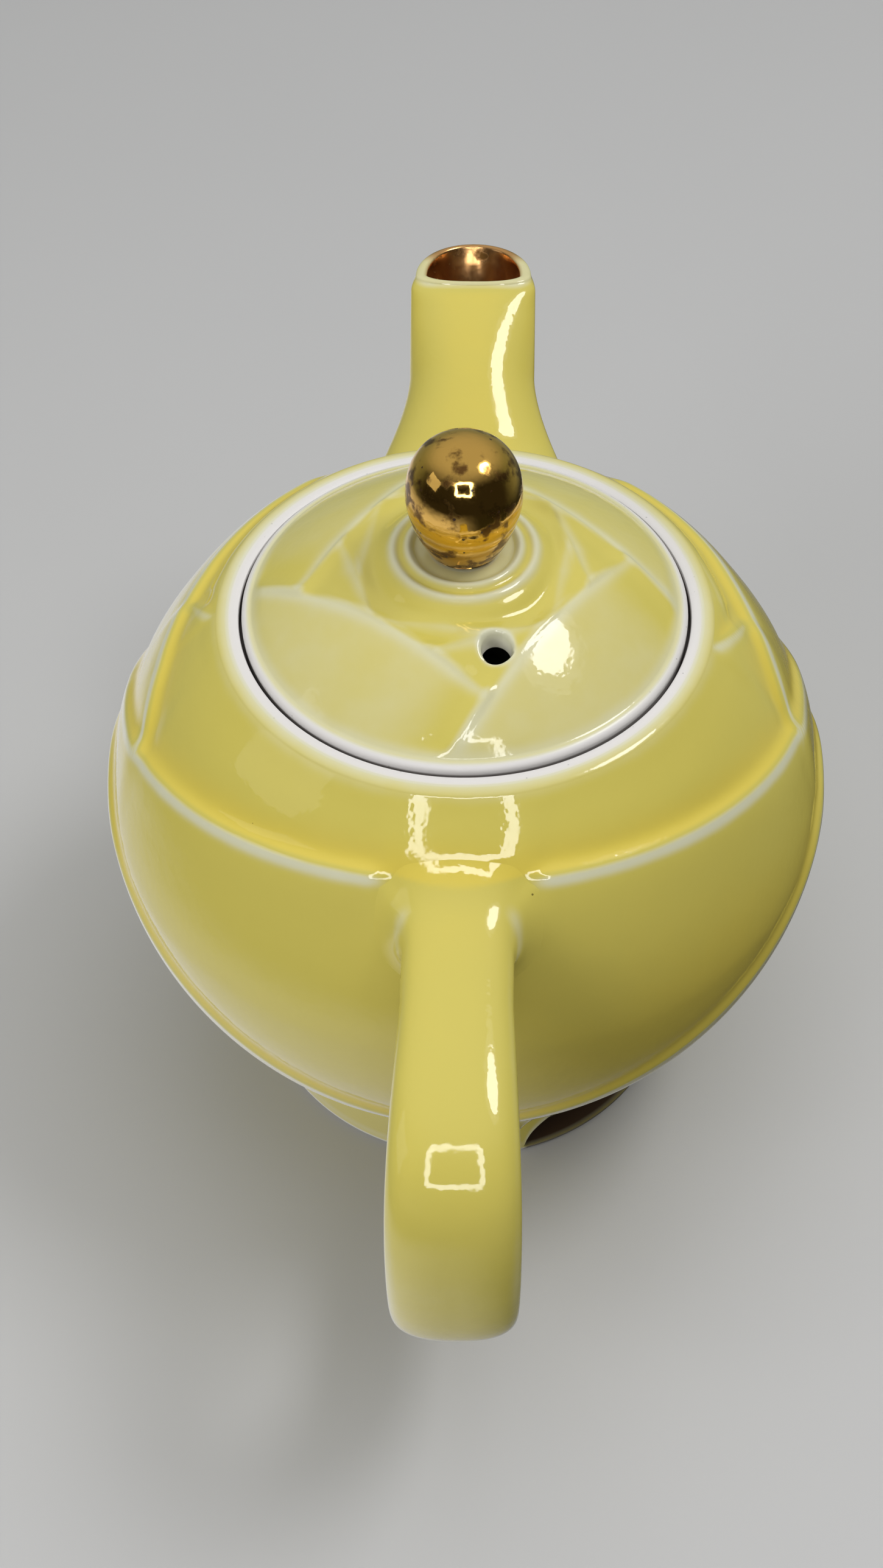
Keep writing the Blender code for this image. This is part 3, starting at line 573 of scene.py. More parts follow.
def pot_petals(look, wall, angle, length):
    """Relief of the pot's wall and its glaze layer (0 thin, 0.5 plain, 1 pooled): all petal edges,
    and a bell of fullness between the front petal's edge and the rim."""
    rise, depth = look.pot.edge_rise, look.pot.valley_depth
    across = np.abs(wall.at(length)[0] * np.sin(np.radians(angle)))
    turn = np.abs(angle)
    corner = sided(angle, CORNER_ANGLES)
    by_handle = np.where(turn > 90, 1.0, smooth_step((across - HANDLE_CLEAR) / CLEAR_FADE))
    by_spout = np.where(turn > 90, smooth_step((across - SPOUT_CLEAR) / CLEAR_FADE), 1.0)
    tail = 1 - smooth_step((turn - TAIL_ANGLES[0]) / (TAIL_ANGLES[1] - TAIL_ANGLES[0]))
    start = smooth_step((turn - corner + 3) / 6)
    front = edge_distance(wall, front_edge, angle, length)
    edges = [
        (edge_distance(wall, lower_lip, angle, length), 0.85, by_spout),
        (front, 1.0, tail * by_handle),
        (edge_distance(wall, back_edge, angle, length), 1.0, start * by_spout),
    ]
    for a0, z0, a1, z1, strength, side in SHOULDER_EDGES:
        def line(a):
            """Height of a straight edge between its two ends, below the rim."""
            return np.clip((z0 + (z1 - z0) * (a - a0) / (a1 - a0)) * MM, 0, wall.rim_z)

        part = (angle - a0) / (a1 - a0)
        ends = smooth_step(part / 0.2) * smooth_step((1 - part) / 0.25)
        edges.append((side * edge_distance(wall, line, angle, length), strength, ends))
    relief, thin, pooled = 0.0, 0.0, 0.0
    for below, strength, mask in edges:
        h, t, p = petal_edge(below, rise * strength, depth * strength)
        relief = relief + h * mask
        thin = np.maximum(thin, 0.9 * t * mask * strength)
        pooled = np.maximum(pooled, p * mask * strength)
    valley = petal_edge(front, 0.0, depth)[2]
    pooled = np.maximum(pooled, valley * (turn < 60))
    to_rim = wall.s[-1] - look.pot.rim_round - length
    full = bell(to_rim / np.clip(to_rim - front, 1 * MM, None) - FULL_PLACE, FULL_WIDTH)
    relief = relief + FULL_RISE * full * smooth_step((70 - turn) / 20)
    relief = relief * smooth_step(to_rim / (5 * MM))
    thin = np.maximum(thin, 0.25 * bell(np.clip(to_rim, 0, None), 1.4 * MM))
    return relief, np.clip(0.5 + 0.5 * pooled * (1 - thin) - 0.5 * thin, 0, 1)


def deep_glaze_and_shade(angle, height):
    """Weight of the deeper glaze and painted shade on the belly: a bell to the right of the handle, below
    the front petal's edge.
    """
    below = smooth_step((front_edge(angle) - height) / (3 * MM))
    return bell(angle - DEEP_SHADE_ANGLE, DEEP_SHADE_REACH[0]) * bell(height - DEEP_SHADE_HEIGHT, DEEP_SHADE_REACH[1]) * below


def skin_at(look, wall, points):
    """Relief and glaze of the pot's wall beside any points."""
    angle = np.degrees(np.arctan2(points[..., 0], -points[..., 1]))
    return pot_petals(look, wall, angle, wall.along(points[..., 2]))


def skin_gap(look, wall, points):
    """How far points lie outside the pot's wall with its relief."""
    return wall.outside(points) - skin_at(look, wall, points)[0]


def skin_glaze(look, wall, points):
    """The glaze of the pot's wall beside any points."""
    return skin_at(look, wall, points)[1]


def pot_shell(look):
    """The pot: a grid of columns round the axis and rows up the outside, over the rim and the ledge
    and down the inside, with a round port behind the spout."""
    pot, wall, surface = look.pot, PlainWall(look), Surface()
    degrees = columns(POT_COLUMNS)
    angle = (degrees + 180) % 360 - 180
    lip = wall.along(lower_lip(angle))
    before = np.abs(angle) < sided(angle, CORNER_ANGLES)
    edge = wall.along(np.where(before, front_edge(angle), back_edge(angle)))
    top = wall.s[-1] - pot.rim_round
    rows = np.concatenate([
        np.sin(np.linspace(0, math.pi / 2, POT_ROWS[0] + 1)[1:, None]) * lip,
        lip + gathered(POT_ROWS[1])[:, None] * (edge - lip),
        edge + gathered(POT_ROWS[2])[:, None] * (top - edge)])
    relief, glaze = pot_petals(look, wall, angle, rows)
    r, z = wall.at(rows, -relief)
    # Painted shade: the underside inside the foot ring gets the dark tint in full
    shade_under_foot = 1.0 * (r < look.foot.radius - look.foot.wall) * (z < wall.belly_z)
    # deep weights a patch on the belly's right: deeper glaze, and the dark tint as painted shade
    deep = deep_glaze_and_shade(angle, z)
    glaze = glaze + 0.7 * deep * smooth_step((glaze - 0.3) / 0.2) * (1 - glaze)
    outer = surface.add(round_axis(degrees, r, z), glaze=glaze, rust=np.maximum(shade_under_foot, 0.22 * deep))

    turn = np.linspace(0, 1, 7)[1:]
    start = np.array(wall.at(top))
    corner, flat = np.array([wall.rim, wall.rim_z]), np.array([wall.rim - pot.rim_round, wall.rim_z])
    lead = [start * (1 - t) ** 2 + corner * 2 * t * (1 - t) + flat * t ** 2 for t in turn]
    ease = 0.5 * MM
    gallery, mouth = wall.gallery, wall.mouth
    under = wall.ledge_z - pot.gallery_thickness
    ring = [(gallery + bit * MM, wall.rim_z) for bit in (2.6, 2.2, 1.8, 1.2)]
    profile = np.array([
        *lead, *ring, (gallery + ease, wall.rim_z), (gallery + 0.3 * ease, wall.rim_z - 0.3 * ease),
        (gallery, wall.rim_z - ease), (gallery, wall.rim_z - 1.8 * ease), (gallery, wall.ledge_z),
        (mouth + ease, wall.ledge_z), (mouth, wall.ledge_z - ease), (mouth, under + ease),
        (mouth + ease, under)])
    bare = 1 - smooth_step((profile[:, :1] - gallery - 1.6 * MM) / (1.0 * MM))
    fade = np.concatenate([np.linspace(0.38, 0.20, len(lead)), np.full(len(profile) - len(lead), 0.12)])
    sunk = smooth_step((wall.rim_z - ease - profile[:, 1:]) / (0.3 * MM))
    # The gallery wall below the rim gets the dark tint: painted shade in the gap round the lid
    rim = surface.add(turned(degrees, profile), glaze=fade[:, None], bare=bare,
                      rust=0.8 * sunk * (profile[:, :1] > mouth + ease))

    inner_top = np.interp(under - 3 * MM, wall.z - pot.wall * wall.out_z, wall.s)
    inner_rows = inner_top * np.linspace(1, 0, POT_INNER_ROWS)[:-1]
    inner_r, inner_z = wall.at(inner_rows, pot.wall)
    inner = surface.add(round_axis(degrees, inner_r[:, None], inner_z[:, None]), clear=1.0)
    surface.band(outer[-1:], rim, inner[:1])

    port_z = (pot.rim_height - look.spout.top_drop + pot.belly_height - look.spout.low_drop) / 2
    middle = POT_COLUMNS // 2
    half = int(PORT_BLOCK / wall.belly / (2 * math.pi) * POT_COLUMNS) + 1
    sides = (middle - half, middle + half)

    def on_wall(radius_at):
        """Puts points of the plane y = 0 on a wall: y is the root of its radius squared less x squared."""
        def lift(flat):
            y = np.sqrt(radius_at(flat[..., 1]) ** 2 - flat[..., 0] ** 2)
            return np.stack([flat[..., 0], y, flat[..., 1]], -1)
        return lift

    surface.pierce([
        (outer, near_block(z[:, middle], port_z, PORT_BLOCK, sides), on_wall(wall.radius),
         lambda points: {"glaze": 0.5}),
        (inner, near_block(inner_z, port_z, PORT_BLOCK, sides),
         on_wall(lambda h: np.interp(h, inner_z[::-1], inner_r[::-1])), lambda points: {"clear": 1.0}),
    ], [0, 2], (0, port_z), pot.port_radius, flip=True)
    surface.cap(outer[0], (0, 0, wall.base_z), flip=True, glaze=0.5)
    surface.cap(inner[-1], (0, 0, wall.base_z + pot.wall), glaze=0.5)
    return surface


# Foot

WINDOW_ANGLE = 40           # from the handle to the middle of the arch
SILL_INSET = 1.2 * MM       # middle line of the strip under the arch


def foot_band(look):
    """The foot: rows up the outside, over the top under the pot and down the inside. Two rows share
    their points away from the window; between them the arch opens as half an ellipse."""
    foot, wall, surface = look.foot, PlainWall(look), Surface()
    degrees = columns(FOOT_COLUMNS)
    inside, waist = foot.radius - foot.wall, foot.radius - foot.flare
    window = np.abs((degrees - WINDOW_ANGLE + 180) % 360 - 180)
    half_angle = math.degrees(math.asin(foot.window_half_width / foot.radius))
    across = np.sin(np.radians(window)) * foot.radius / foot.window_half_width
    arch = np.sqrt(np.clip(1 - across ** 2, 0, 1))
    open_here = window < half_angle
    arch = foot.window_sill + (foot.window_height - foot.window_sill) * np.where(open_here, arch, 0)
    sides = []
    for low_r, top_r, edge_r in ((foot.radius, waist, foot.radius - foot.bevel),
                                 (inside, waist - foot.wall, inside + foot.bevel)):
        top_z = wall.underside(top_r) - 0.25 * MM
        part = np.linspace(0, 1, 16)[:, None]
        up = arch + (top_z - arch) * part
        lean = low_r + (top_r - low_r) * smooth_step(up / top_z) ** 0.8
        curl = np.array([(edge_r, 0.0), ((edge_r + low_r) / 2, 0.25 * foot.bevel), (low_r, foot.bevel),
                         (low_r, foot.window_sill)])
        # Under the window the lower edge is darkened, and fully on the inside: painted shade in the hollow
        # under the pot
        low_rust_and_shade = np.array([0.3, 0.6, 0.9, 0.6 if low_r > inside else 1.0])[:, None] * open_here
        low = surface.add(turned(degrees, curl), glaze=np.array([0, 0, 0, 0.35])[:, None],
                          bare=np.array([1, 0.9, 0.5, 0])[:, None], rust=low_rust_and_shade)
        glaze = np.clip(0.45 + 0.4 * bell(up - top_z, 4 * MM) - 0.35 * bell(up - arch, 1.2 * MM), 0, 1)
        # The ring's inside gets the dark tint all over: painted shade in the hollow under the pot
        high = surface.add(round_axis(degrees, lean, up), glaze=glaze, rust=1.0 * (low_r == inside))
        high[0] = np.where(open_here, high[0], low[-1])
        sides.append((low, high))
    (low_out, high_out), (low_in, high_in) = sides
    surface.band(low_out)
    surface.band(high_out)
    surface.faces(grid_quads(low_in)[..., ::-1])
    surface.faces(grid_quads(high_in)[..., ::-1])
    surface.band(high_out[-1:], high_in[-1:])
    surface.band(low_in[:1], low_out[:1])
    here = open_here | np.roll(open_here, -1)
    # The strip under the arch gets the dark tint in full
    sill_z = np.full((1, 1), foot.window_sill)
    sill = surface.add(round_axis(degrees, foot.radius - SILL_INSET, sill_z), rust=1.0)
    surface.faces(grid_quads(np.concatenate([low_out[-1:], sill, low_in[-1:]]))[:, here])
    surface.faces(grid_quads(np.concatenate([high_in[:1], high_out[:1]]))[:, here])
    return surface


# Handle

STRAP_POWER = 2.5                               # of the rounded section
STRAP_SLOPES = (7.0, 3.7)                       # falls of the upper and the lower stub, in degrees
ROOT_PULLS = (20 * MM, 29 * MM)                 # how far each curve keeps to its stub's direction
BEND_PULL = np.array([0, 26 * MM])              # and to the upright at the outermost point
STUB_BEYOND = 5 * MM                            # stub's length past one thickness of the strap


def handle_section(turn, width, thickness):
    """The strap's section: a rounded rectangle of power 2.5."""
    across, inward = super_round(turn, STRAP_POWER)
    return across * width / 2, inward * thickness / 2


def across_line(heading):
    """The direction in the plane x = 0 that lies square to a heading."""
    return np.stack([-heading[..., 1], heading[..., 0]], -1)


def soft_root(wide, plain, ahead, rows):
    """Rows of a fillet: a (1 - t)^2 + 2 b t (1 - t) + c t^2 from a wide loop on the wall, bent by the
    plain loop on the wall, to a loop farther out."""
    t = np.linspace(0, 1, rows)[:, None, None]
    return wide * (1 - t) ** 2 + plain * 2 * t * (1 - t) + ahead * t ** 2


def handle_strap(look):
    """The handle: a rounded section carried along two cubic curves that meet at the outermost point,
    with straight stubs at the roots that run by a fillet into the pot's skin."""
    pot, handle, wall, surface = look.pot, look.handle, PlainWall(look), Surface()
    turn = even_turn(lambda t: handle_section(t, handle.root_width, handle.thickness), STRAP_COLUMNS)
    x, u = handle_section(turn, handle.root_width, handle.thickness)
    stub = handle.thickness + STUB_BEYOND
    heights = np.array([pot.rim_height - handle.top_drop, pot.belly_height - handle.low_drop])
    roots = np.stack([-wall.radius(heights), heights], -1)
    slopes = np.radians(STRAP_SLOPES)
    leave = np.stack([-np.cos(slopes), -np.sin(slopes)], -1)
    top, low = roots + leave * stub
    outermost = np.array([-(handle.reach - handle.thickness / 2), heights.mean() + handle.bend_rise])
    upper = (top, top + leave[0] * ROOT_PULLS[0], outermost + BEND_PULL, outermost)
    lower = (outermost, outermost - BEND_PULL, low + leave[1] * ROOT_PULLS[1], low)

    def arm(root, along, inward):
        """Rows of one root from the wall to the stub's end."""
        def place(grow, reach):
            """The section, grown about its middle, at a reach along the root's direction."""
            yz = root + reach[..., None] * along + (u * grow)[..., None] * inward
            return np.concatenate([np.broadcast_to(x * grow, reach.shape)[..., None], yz], -1)

        def meet(grow, sunk):
            """Reach at which each point of the grown section lies that deep in the pot's skin."""
            return find_root(lambda reach: skin_gap(look, wall, place(grow, reach)) + sunk,
                             np.full(x.shape, -0.04), np.full(x.shape, stub))

        full = 1 + handle.fillet / np.hypot(x, u)
        wide, plain = place(full, meet(full, 0.15 * MM)), meet(1.0, 0.0)
        ahead = np.minimum(plain + 1.1 * handle.fillet, stub - 1 * MM)
        shank = np.linspace(0, 1, 7)[1:, None]
        shank = np.stack([place(1.0, k) for k in ahead + (stub - ahead) * shank])
        return np.concatenate([soft_root(wide, place(1.0, plain), place(1.0, ahead), 20), shank])

    t = np.linspace(0, 1, 41)
    middle = np.concatenate([bezier(*upper, t[1:]), bezier(*lower, t[1:-1])])
    heading = np.concatenate([bezier_heading(*upper, t[1:]), bezier_heading(*lower, t[1:-1])])
    share_along = np.arange(1, len(middle) + 1) / (len(middle) + 1)
    width = handle.root_width + (handle.bend_width - handle.root_width) * np.sin(math.pi * share_along)
    wide, thick = handle_section(turn[None], width[:, None], handle.thickness)
    yz = middle[:, None] + thick[..., None] * across_line(heading)[:, None]
    bend = np.concatenate([wide[..., None], yz], -1)
    first = arm(roots[0], leave[0], across_line(leave[0]))
    last = arm(roots[1], leave[1], -across_line(leave[1]))[::-1]
    points = np.concatenate([first, bend, last])
    edge = bell(np.abs(x) - 0.47 * handle.root_width, 0.9 * MM)
    # Glaze thinner and paler towards the handle's lower end: painted light from the floor below
    glaze = 0.58 - 0.13 * edge - 0.12 * smooth_step((100 * MM - points[..., 2]) / (30 * MM))
    away = smooth_step(skin_gap(look, wall, points) / (7 * MM))
    upper_root = (np.arange(len(points)) < len(first))[:, None]
    beside = smooth_step((np.abs(x) / handle.root_width - 0.30) / 0.15) * upper_root
    glaze = skin_glaze(look, wall, points) * (1 - away) + glaze * away
    glaze = glaze + beside * (0.08 * bell(away - 0.05, 0.2) - 0.24 * bell(away - 0.5, 0.3))
    ids = surface.add(points, glaze=np.clip(glaze, 0, 1))
    surface.band(ids)
    surface.cap(ids[0], points[0].mean(axis=0), flip=True, glaze=0.5)
    surface.cap(ids[-1], points[-1].mean(axis=0), glaze=0.5)
    return surface


# Spout

# Middle points of the back's and the keel's curves, as shares of their run outwards and upwards
BACK_PULL = ((0.33, 0.43), (0.68, 0.90))
KEEL_PULL = ((0.42, 0.10), (0.66, 0.52))
KEEL_POWER = 2.1            # of the section's round underside
FLARE_SHARE = 0.55          # share of the length over which the root narrows to the neck
FLARE_POWER = 1.6
WIDEST_SHARE = 0.76         # height of the widest line between keel and back
FILLET_SHARE = 0.12         # share of the length that the fillet takes up
MOUTH_NARROWING = 2.0 * MM


def spout_section(turn, back_power=2.0):
    """Shares across and up: a back of the given power above, a round keel of power 2.1 below."""
    back, keel = super_round(turn, back_power), super_round(turn, KEEL_POWER)
    upper = np.sin(turn) > 0
    return np.where(upper, back[0], keel[0]), np.where(upper, back[1], keel[1])


def spout_points(look, wall, t, turn, inset):
    """The spout's skin: its back and keel are cubic curves in the plane x = 0, its width falls from
    the root as a power 1.6 and draws in at the mouth, the section is widest near the back, which
    flattens towards the mouth, and inset moves the skin inwards."""
    spout, pot = look.spout, look.pot

    def line(start, end, pull):
        """Cubic curve from inside the wall, past two middle points, to the mouth."""
        start, end = np.array(start), np.array(end)
        run = end - start
        root = start - np.array([1.5 * pot.wall, 0])
        return bezier(root, start + run * pull[0], start + run * pull[1], end, t)

    top_z, low_z = pot.rim_height - spout.top_drop, pot.belly_height - spout.low_drop
    edge_z = pot.rim_height + spout.edge_rise
    back = line((wall.radius(top_z), top_z), (spout.edge_reach, edge_z), BACK_PULL)
    keel = line((wall.radius(low_z), low_z), (spout.reach, edge_z - spout.lip_fall), KEEL_PULL)
    middle = keel + (back - keel) * WIDEST_SHARE
    flare = np.clip(1 - t / FLARE_SHARE, 0, None) ** FLARE_POWER
    open_out = np.clip(t - FLARE_SHARE, 0, None) / (1 - FLARE_SHARE)
    width = spout.neck_width + (spout.root_width - spout.neck_width) * flare
    width = width + (spout.mouth_width - spout.neck_width) * open_out ** 2
    width = width - MOUTH_NARROWING * smooth_step((t - 0.92) / 0.08) ** 2
    across, rise = spout_section(turn, 2.0 + 0.6 * smooth_step((t - 0.82) / 0.18))
    reach = np.where((np.sin(turn) > 0)[..., None], back - middle, keel - middle)
    yz = middle + reach * ((1 - inset / np.linalg.norm(reach, axis=-1)) * np.abs(rise))[..., None]
    return np.concatenate([((width / 2 - inset) * across)[..., None], yz], -1)


def spout_shell(look):
    """The spout: the outside from its fillet on the pot's wall to the lip, a rounded lip, and the
    inside back to the wall; gold covers the mouth's inside and the far lip."""
    spout, wall, surface = look.spout, PlainWall(look), Surface()
    turn = even_turn(spout_section, SPOUT_COLUMNS)

    def meet(inset, sunk):
        """Share of the length at which each line of the inset skin lies that deep in the pot's wall."""
        return find_root(lambda t: wall.outside(spout_points(look, wall, t, turn, inset)) + sunk,
                         np.full(turn.shape, 0.0), np.full(turn.shape, FLARE_SHARE))

    wide, plain = meet(-spout.fillet, 0.4 * MM), meet(0.0, 0.0)
    ahead = plain + FILLET_SHARE
    root = soft_root(*(spout_points(look, wall, t, turn, inset)
                       for t, inset in ((wide, -spout.fillet), (plain, 0.0), (ahead, 0.0))), 24)
    part = np.linspace(0, 1, 72)[1:, None]
    outside = spout_points(look, wall, ahead + (1 - ahead) * part, turn, np.zeros((1, 1)))
    inner_start = meet(spout.wall, 0.4 * MM)
    t_in = inner_start + (1 - inner_start) * np.linspace(1, 0, 60)[:, None]
    lip_wall = spout.side_lip * np.cos(turn) ** 2 + spout.end_lip * np.sin(turn) ** 2
    inset = lip_wall + (spout.wall - lip_wall) * smooth_step((1 - t_in) / 0.3)
    inside = spout_points(look, wall, t_in, turn, inset)
    swing = np.linspace(0, math.pi, 9)[1:-1, None, None]
    crown = (outside[-1] + inside[0]) / 2 + (outside[-1] - inside[0]) / 2 * np.cos(swing)
    crown = crown + np.array([0, 0.25, 1.0]) * (0.6 * MM) * np.sin(swing)
    points = np.concatenate([root, outside, crown, inside])
    skin = len(root) + len(outside)
    lip = slice(skin, skin + len(crown))
    deep = slice(skin + len(crown), None)
    corner = np.where(np.sin(turn) > 0, np.abs(np.sin(2 * turn)) ** 3, 0)
    glaze = np.full(points.shape[:2], 0.72) - 0.12 * corner
    glaze[:len(root)] += 0.25 * (1 - np.linspace(0, 1, len(root))[:, None]) ** 1.5
    from_lip = np.linalg.norm(points[:skin] - outside[-1], axis=-1)
    glaze[:skin] -= 0.42 * bell(from_lip, 1.6 * MM)
    glaze[lip] = 0.22
    depth = np.linalg.norm(inside - inside[0], axis=-1)
    gold = np.zeros(points.shape[:2])
    gold[deep] = 1 - smooth_step((depth - spout.gilding) / (2.5 * MM))
    far_lip, inwards = smooth_step((-np.sin(turn) - 0.35) / 0.4), np.linspace(-1.6, 0.6, len(crown))
    gold[lip] = np.maximum(far_lip, inwards[:, None])
    clear = np.zeros(points.shape[:2])
    clear[deep] = 1
    ids = surface.add(points, glaze=np.clip(glaze, 0, 1), gold=np.clip(gold, 0, 1), clear=clear)
    surface.faces(grid_quads(ids, join_rows=True))
    return surface


# Lid

# Petal edges: the turn of the first of four, distance from the axis, and strength
LID_LAYERS = ((54.0, 23.3 * MM, 1.0), (19.0, 21.3 * MM, 0.8), (-9.0, 19.2 * MM, 0.7))
DOME_POWER = 2.3
RINGS = ((13.9 * MM, 1.0), (11.0 * MM, 1.3))    # radius and share of the ring's rise
RING_WIDTH = 1.2 * MM
DIPS = (12.5 * MM, 16.4 * MM)                   # glaze gathers between and outside the rings
VENT = (6.5 * MM, -23.0 * MM)
VENT_BLOCK = 5.2 * MM                           # half the patch of the grid that gives way to the vent
VENT_EASE = 0.9 * MM
KNOB_HOLE = 4.3 * MM
PAD_RADIUS = 6.9 * MM                           # flat under the knob
UNDER_RADIUS = 32.3 * MM                        # hollow under the dome


def lid_dome(look, radius):
    """Height of the plain dome above the seat: e + c (1 - (r / R)^2.3), with two rings as bells."""
    lid = look.lid
    dome = lid.edge_height + lid.crown * (1 - (radius / lid.radius) ** DOME_POWER)
    return dome + sum(lid.ring_rise * tall * bell(radius - ring, RING_WIDTH) for ring, tall in RINGS)


def lid_petals(look, x, y):
    """Relief and glaze of the dome: three layers of four straight petal edges, each edge running from
    the rim until the next petal covers it, and each layer showing only inside the one before."""
    lid = look.lid
    radius = np.hypot(x, y)
    relief, thin, pooled, shown = 0.0, 0.0, 0.0, 1.0
    for first, offset, strength in LID_LAYERS:
        turns = np.radians(first + 90 * np.arange(4))
        outer = [x * math.cos(a) + y * math.sin(a) - offset for a in turns]
        for k in range(4):
            mask = shown * (1 - smooth_step((outer[(k + 1) % 4] + 0.4 * MM) / (1.2 * MM)))
            h, t, p = petal_edge(outer[k], lid.petal_rise * strength, lid.petal_depth * strength, 1.05)
            relief = relief + h * mask
            thin = np.maximum(thin, 0.52 * strength * t * mask)
            pooled = np.maximum(pooled, 0.48 * strength * p * mask)
        for line in outer:
            shown = shown * (1 - smooth_step((line + 0.6 * MM) / (1.0 * MM)))
    fade = smooth_step((radius - 15.5 * MM) / (3 * MM))
    fade = fade * smooth_step((lid.radius - 1.5 * MM - radius) / (3 * MM))
    ring = sum(bell(radius - r, 0.9 * MM) for r, _ in RINGS)
    dip = sum(bell(radius - r, RING_WIDTH) for r in DIPS)
    edge = smooth_step((radius - lid.radius + 4.0 * MM) / (2.4 * MM))
    by_knob = radius < 9.5 * MM
    by_vent = bell(np.hypot(x - VENT[0], y - VENT[1]) - lid.vent_radius, 0.9 * MM)
    thin = np.clip(np.maximum(thin * fade, 0.7 * ring) + 0.42 * edge + by_vent + 0.28 * by_knob, 0, 1)
    pooled = np.clip(pooled * fade + 0.4 * dip, 0, 1)
    # Glaze thinner and paler towards the front and thicker towards the back: painted light, the front lit
    # more than the back
    base = 0.345 + 0.045 * y / lid.radius
    return relief * fade, np.clip(base + 0.5 * pooled * (1 - thin) - base * thin, 0, 1)


def lid_height(look, x, y):
    """Height of the finished dome above the seat, eased round the vent by a quarter circle."""
    relief, glaze = lid_petals(look, x, y)
    near = np.clip(1 - (np.hypot(x - VENT[0], y - VENT[1]) - look.lid.vent_radius) / VENT_EASE, 0, 1)
    return lid_dome(look, np.hypot(x, y)) + relief - VENT_EASE * (1 - np.sqrt(1 - near ** 2)), glaze


def lid_cover(look):
    """The cover: rows from its seat round the edge and up the dome to the knob's hole, and back along
    the underside, with the round vent through both."""
    lid, knob, wall, surface = look.lid, look.knob, PlainWall(look), Surface()
    degrees = columns(LID_COLUMNS)
    seat = np.array([0, 0, wall.seat_z])
    edge = lid.radius - lid.edge_round
    edge_z = lid_dome(look, edge)
    swing = np.linspace(0, math.pi / 2, 13)[:-1]
    sunk = wall.rim_z - wall.seat_z
    side = np.array([(lid.radius, 0.0), (lid.radius, sunk - 0.6 * MM), (lid.radius, sunk - 0.2 * MM), *zip(
        edge + lid.edge_round * np.cos(swing), edge_z - (edge_z - sunk - 0.3 * MM) * (1 - np.sin(swing)))])
    round_up = np.concatenate([[0, 0, 0], smooth_step((swing - 0.75) / 0.7)])[:, None]
    # The lid's side below the rim gets the dark tint: painted shade in the gap
    rim = surface.add(turned(degrees, side) + seat, glaze=0.20 * round_up, bare=1 - round_up,
                      rust=np.where(side[:, 1:] < sunk - 0.5 * MM, 0.7, 0.0))
    rows = np.concatenate([np.linspace(edge, 17 * MM, 68), np.linspace(17 * MM, 7.2 * MM, 48)[1:]])
    xy = round_axis(degrees, rows[:, None], 0.0)
    height, glaze = lid_height(look, xy[..., 0], xy[..., 1])
    xy[..., 2] = height
    top = surface.add(xy + seat, glaze=glaze)
    knob_z = lid_dome(look, knob.foot_radius)
    pad = surface.add(round_axis(degrees, np.array([[PAD_RADIUS], [KNOB_HOLE]]), knob_z) + seat, glaze=0.15)
    under_r = np.linspace(KNOB_HOLE, UNDER_RADIUS, 52)
    under_z = lid_dome(look, under_r) - lid.wall
    under = surface.add(round_axis(degrees, under_r[:, None], under_z[:, None]) + seat, clear=1.0)
    foot = surface.add(round_axis(degrees, UNDER_RADIUS, np.zeros((1, 1))) + seat, bare=1.0)
    surface.band(rim, top[:1])
    surface.band(top[-1:], pad, under[:1])
    surface.band(under[-1:], foot, rim[:1])

    vent_r, vent_a = math.hypot(*VENT), math.degrees(math.atan2(VENT[0], -VENT[1]))
    sideways = np.flatnonzero(np.abs(degrees - vent_a) < math.degrees(VENT_BLOCK / vent_r))
    sides = (sideways[0], sideways[-1])

    def on_dome(height):
        """Puts points of the plane z = 0 on a dome of that height above the seat."""
        def lift(flat):
            z = height(flat[..., 0], flat[..., 1]) + wall.seat_z
            return np.concatenate([flat, z[..., None]], -1)
        return lift

    surface.pierce([
        (top, near_block(rows, vent_r, VENT_BLOCK, sides), on_dome(lambda x, y: lid_height(look, x, y)[0]),
         lambda points: {"glaze": lid_petals(look, points[..., 0], points[..., 1])[1]}),
        (under, near_block(under_r, vent_r, VENT_BLOCK, sides),
         on_dome(lambda x, y: lid_dome(look, np.hypot(x, y)) - lid.wall), lambda points: {"clear": 1.0}),
    ], [0, 1], VENT, lid.vent_radius)
    return surface


def lid_skirt(look):
    """The skirt under the cover: a closed outline of rounded corners turned about the axis."""
    lid, wall, surface = look.lid, PlainWall(look), Surface()
    degrees = columns(LID_COLUMNS)
    outer = wall.mouth - lid.skirt_clearance
    inner = outer - lid.skirt_wall
    low, top = -lid.skirt_depth, -JOINT_GAP
    swing = np.linspace(0, math.pi, 17)
    middle, half = (outer + inner) / 2, lid.skirt_wall / 2
    toe = np.stack([middle - half * np.cos(swing), low + half * (1 - np.sin(swing))], -1)
    shank = np.linspace(0, 1, 6)[1:, None]
    rise = np.array([0, top - low - half])
    outline = np.concatenate([toe, toe[-1] + rise * shank, toe[0] + rise * shank[::-1]])
    ids = surface.add(turned(degrees, outline + [0, wall.seat_z]), bare=1.0, glaze=0.1)
    surface.faces(grid_quads(ids, join_rows=True))
    return surface


EGG_LOW_POWER = 1.55
EGG_HIGH_POWER = 2.4
TENON_RADIUS = 4.0 * MM
TENON_DEPTH = 3 * MM


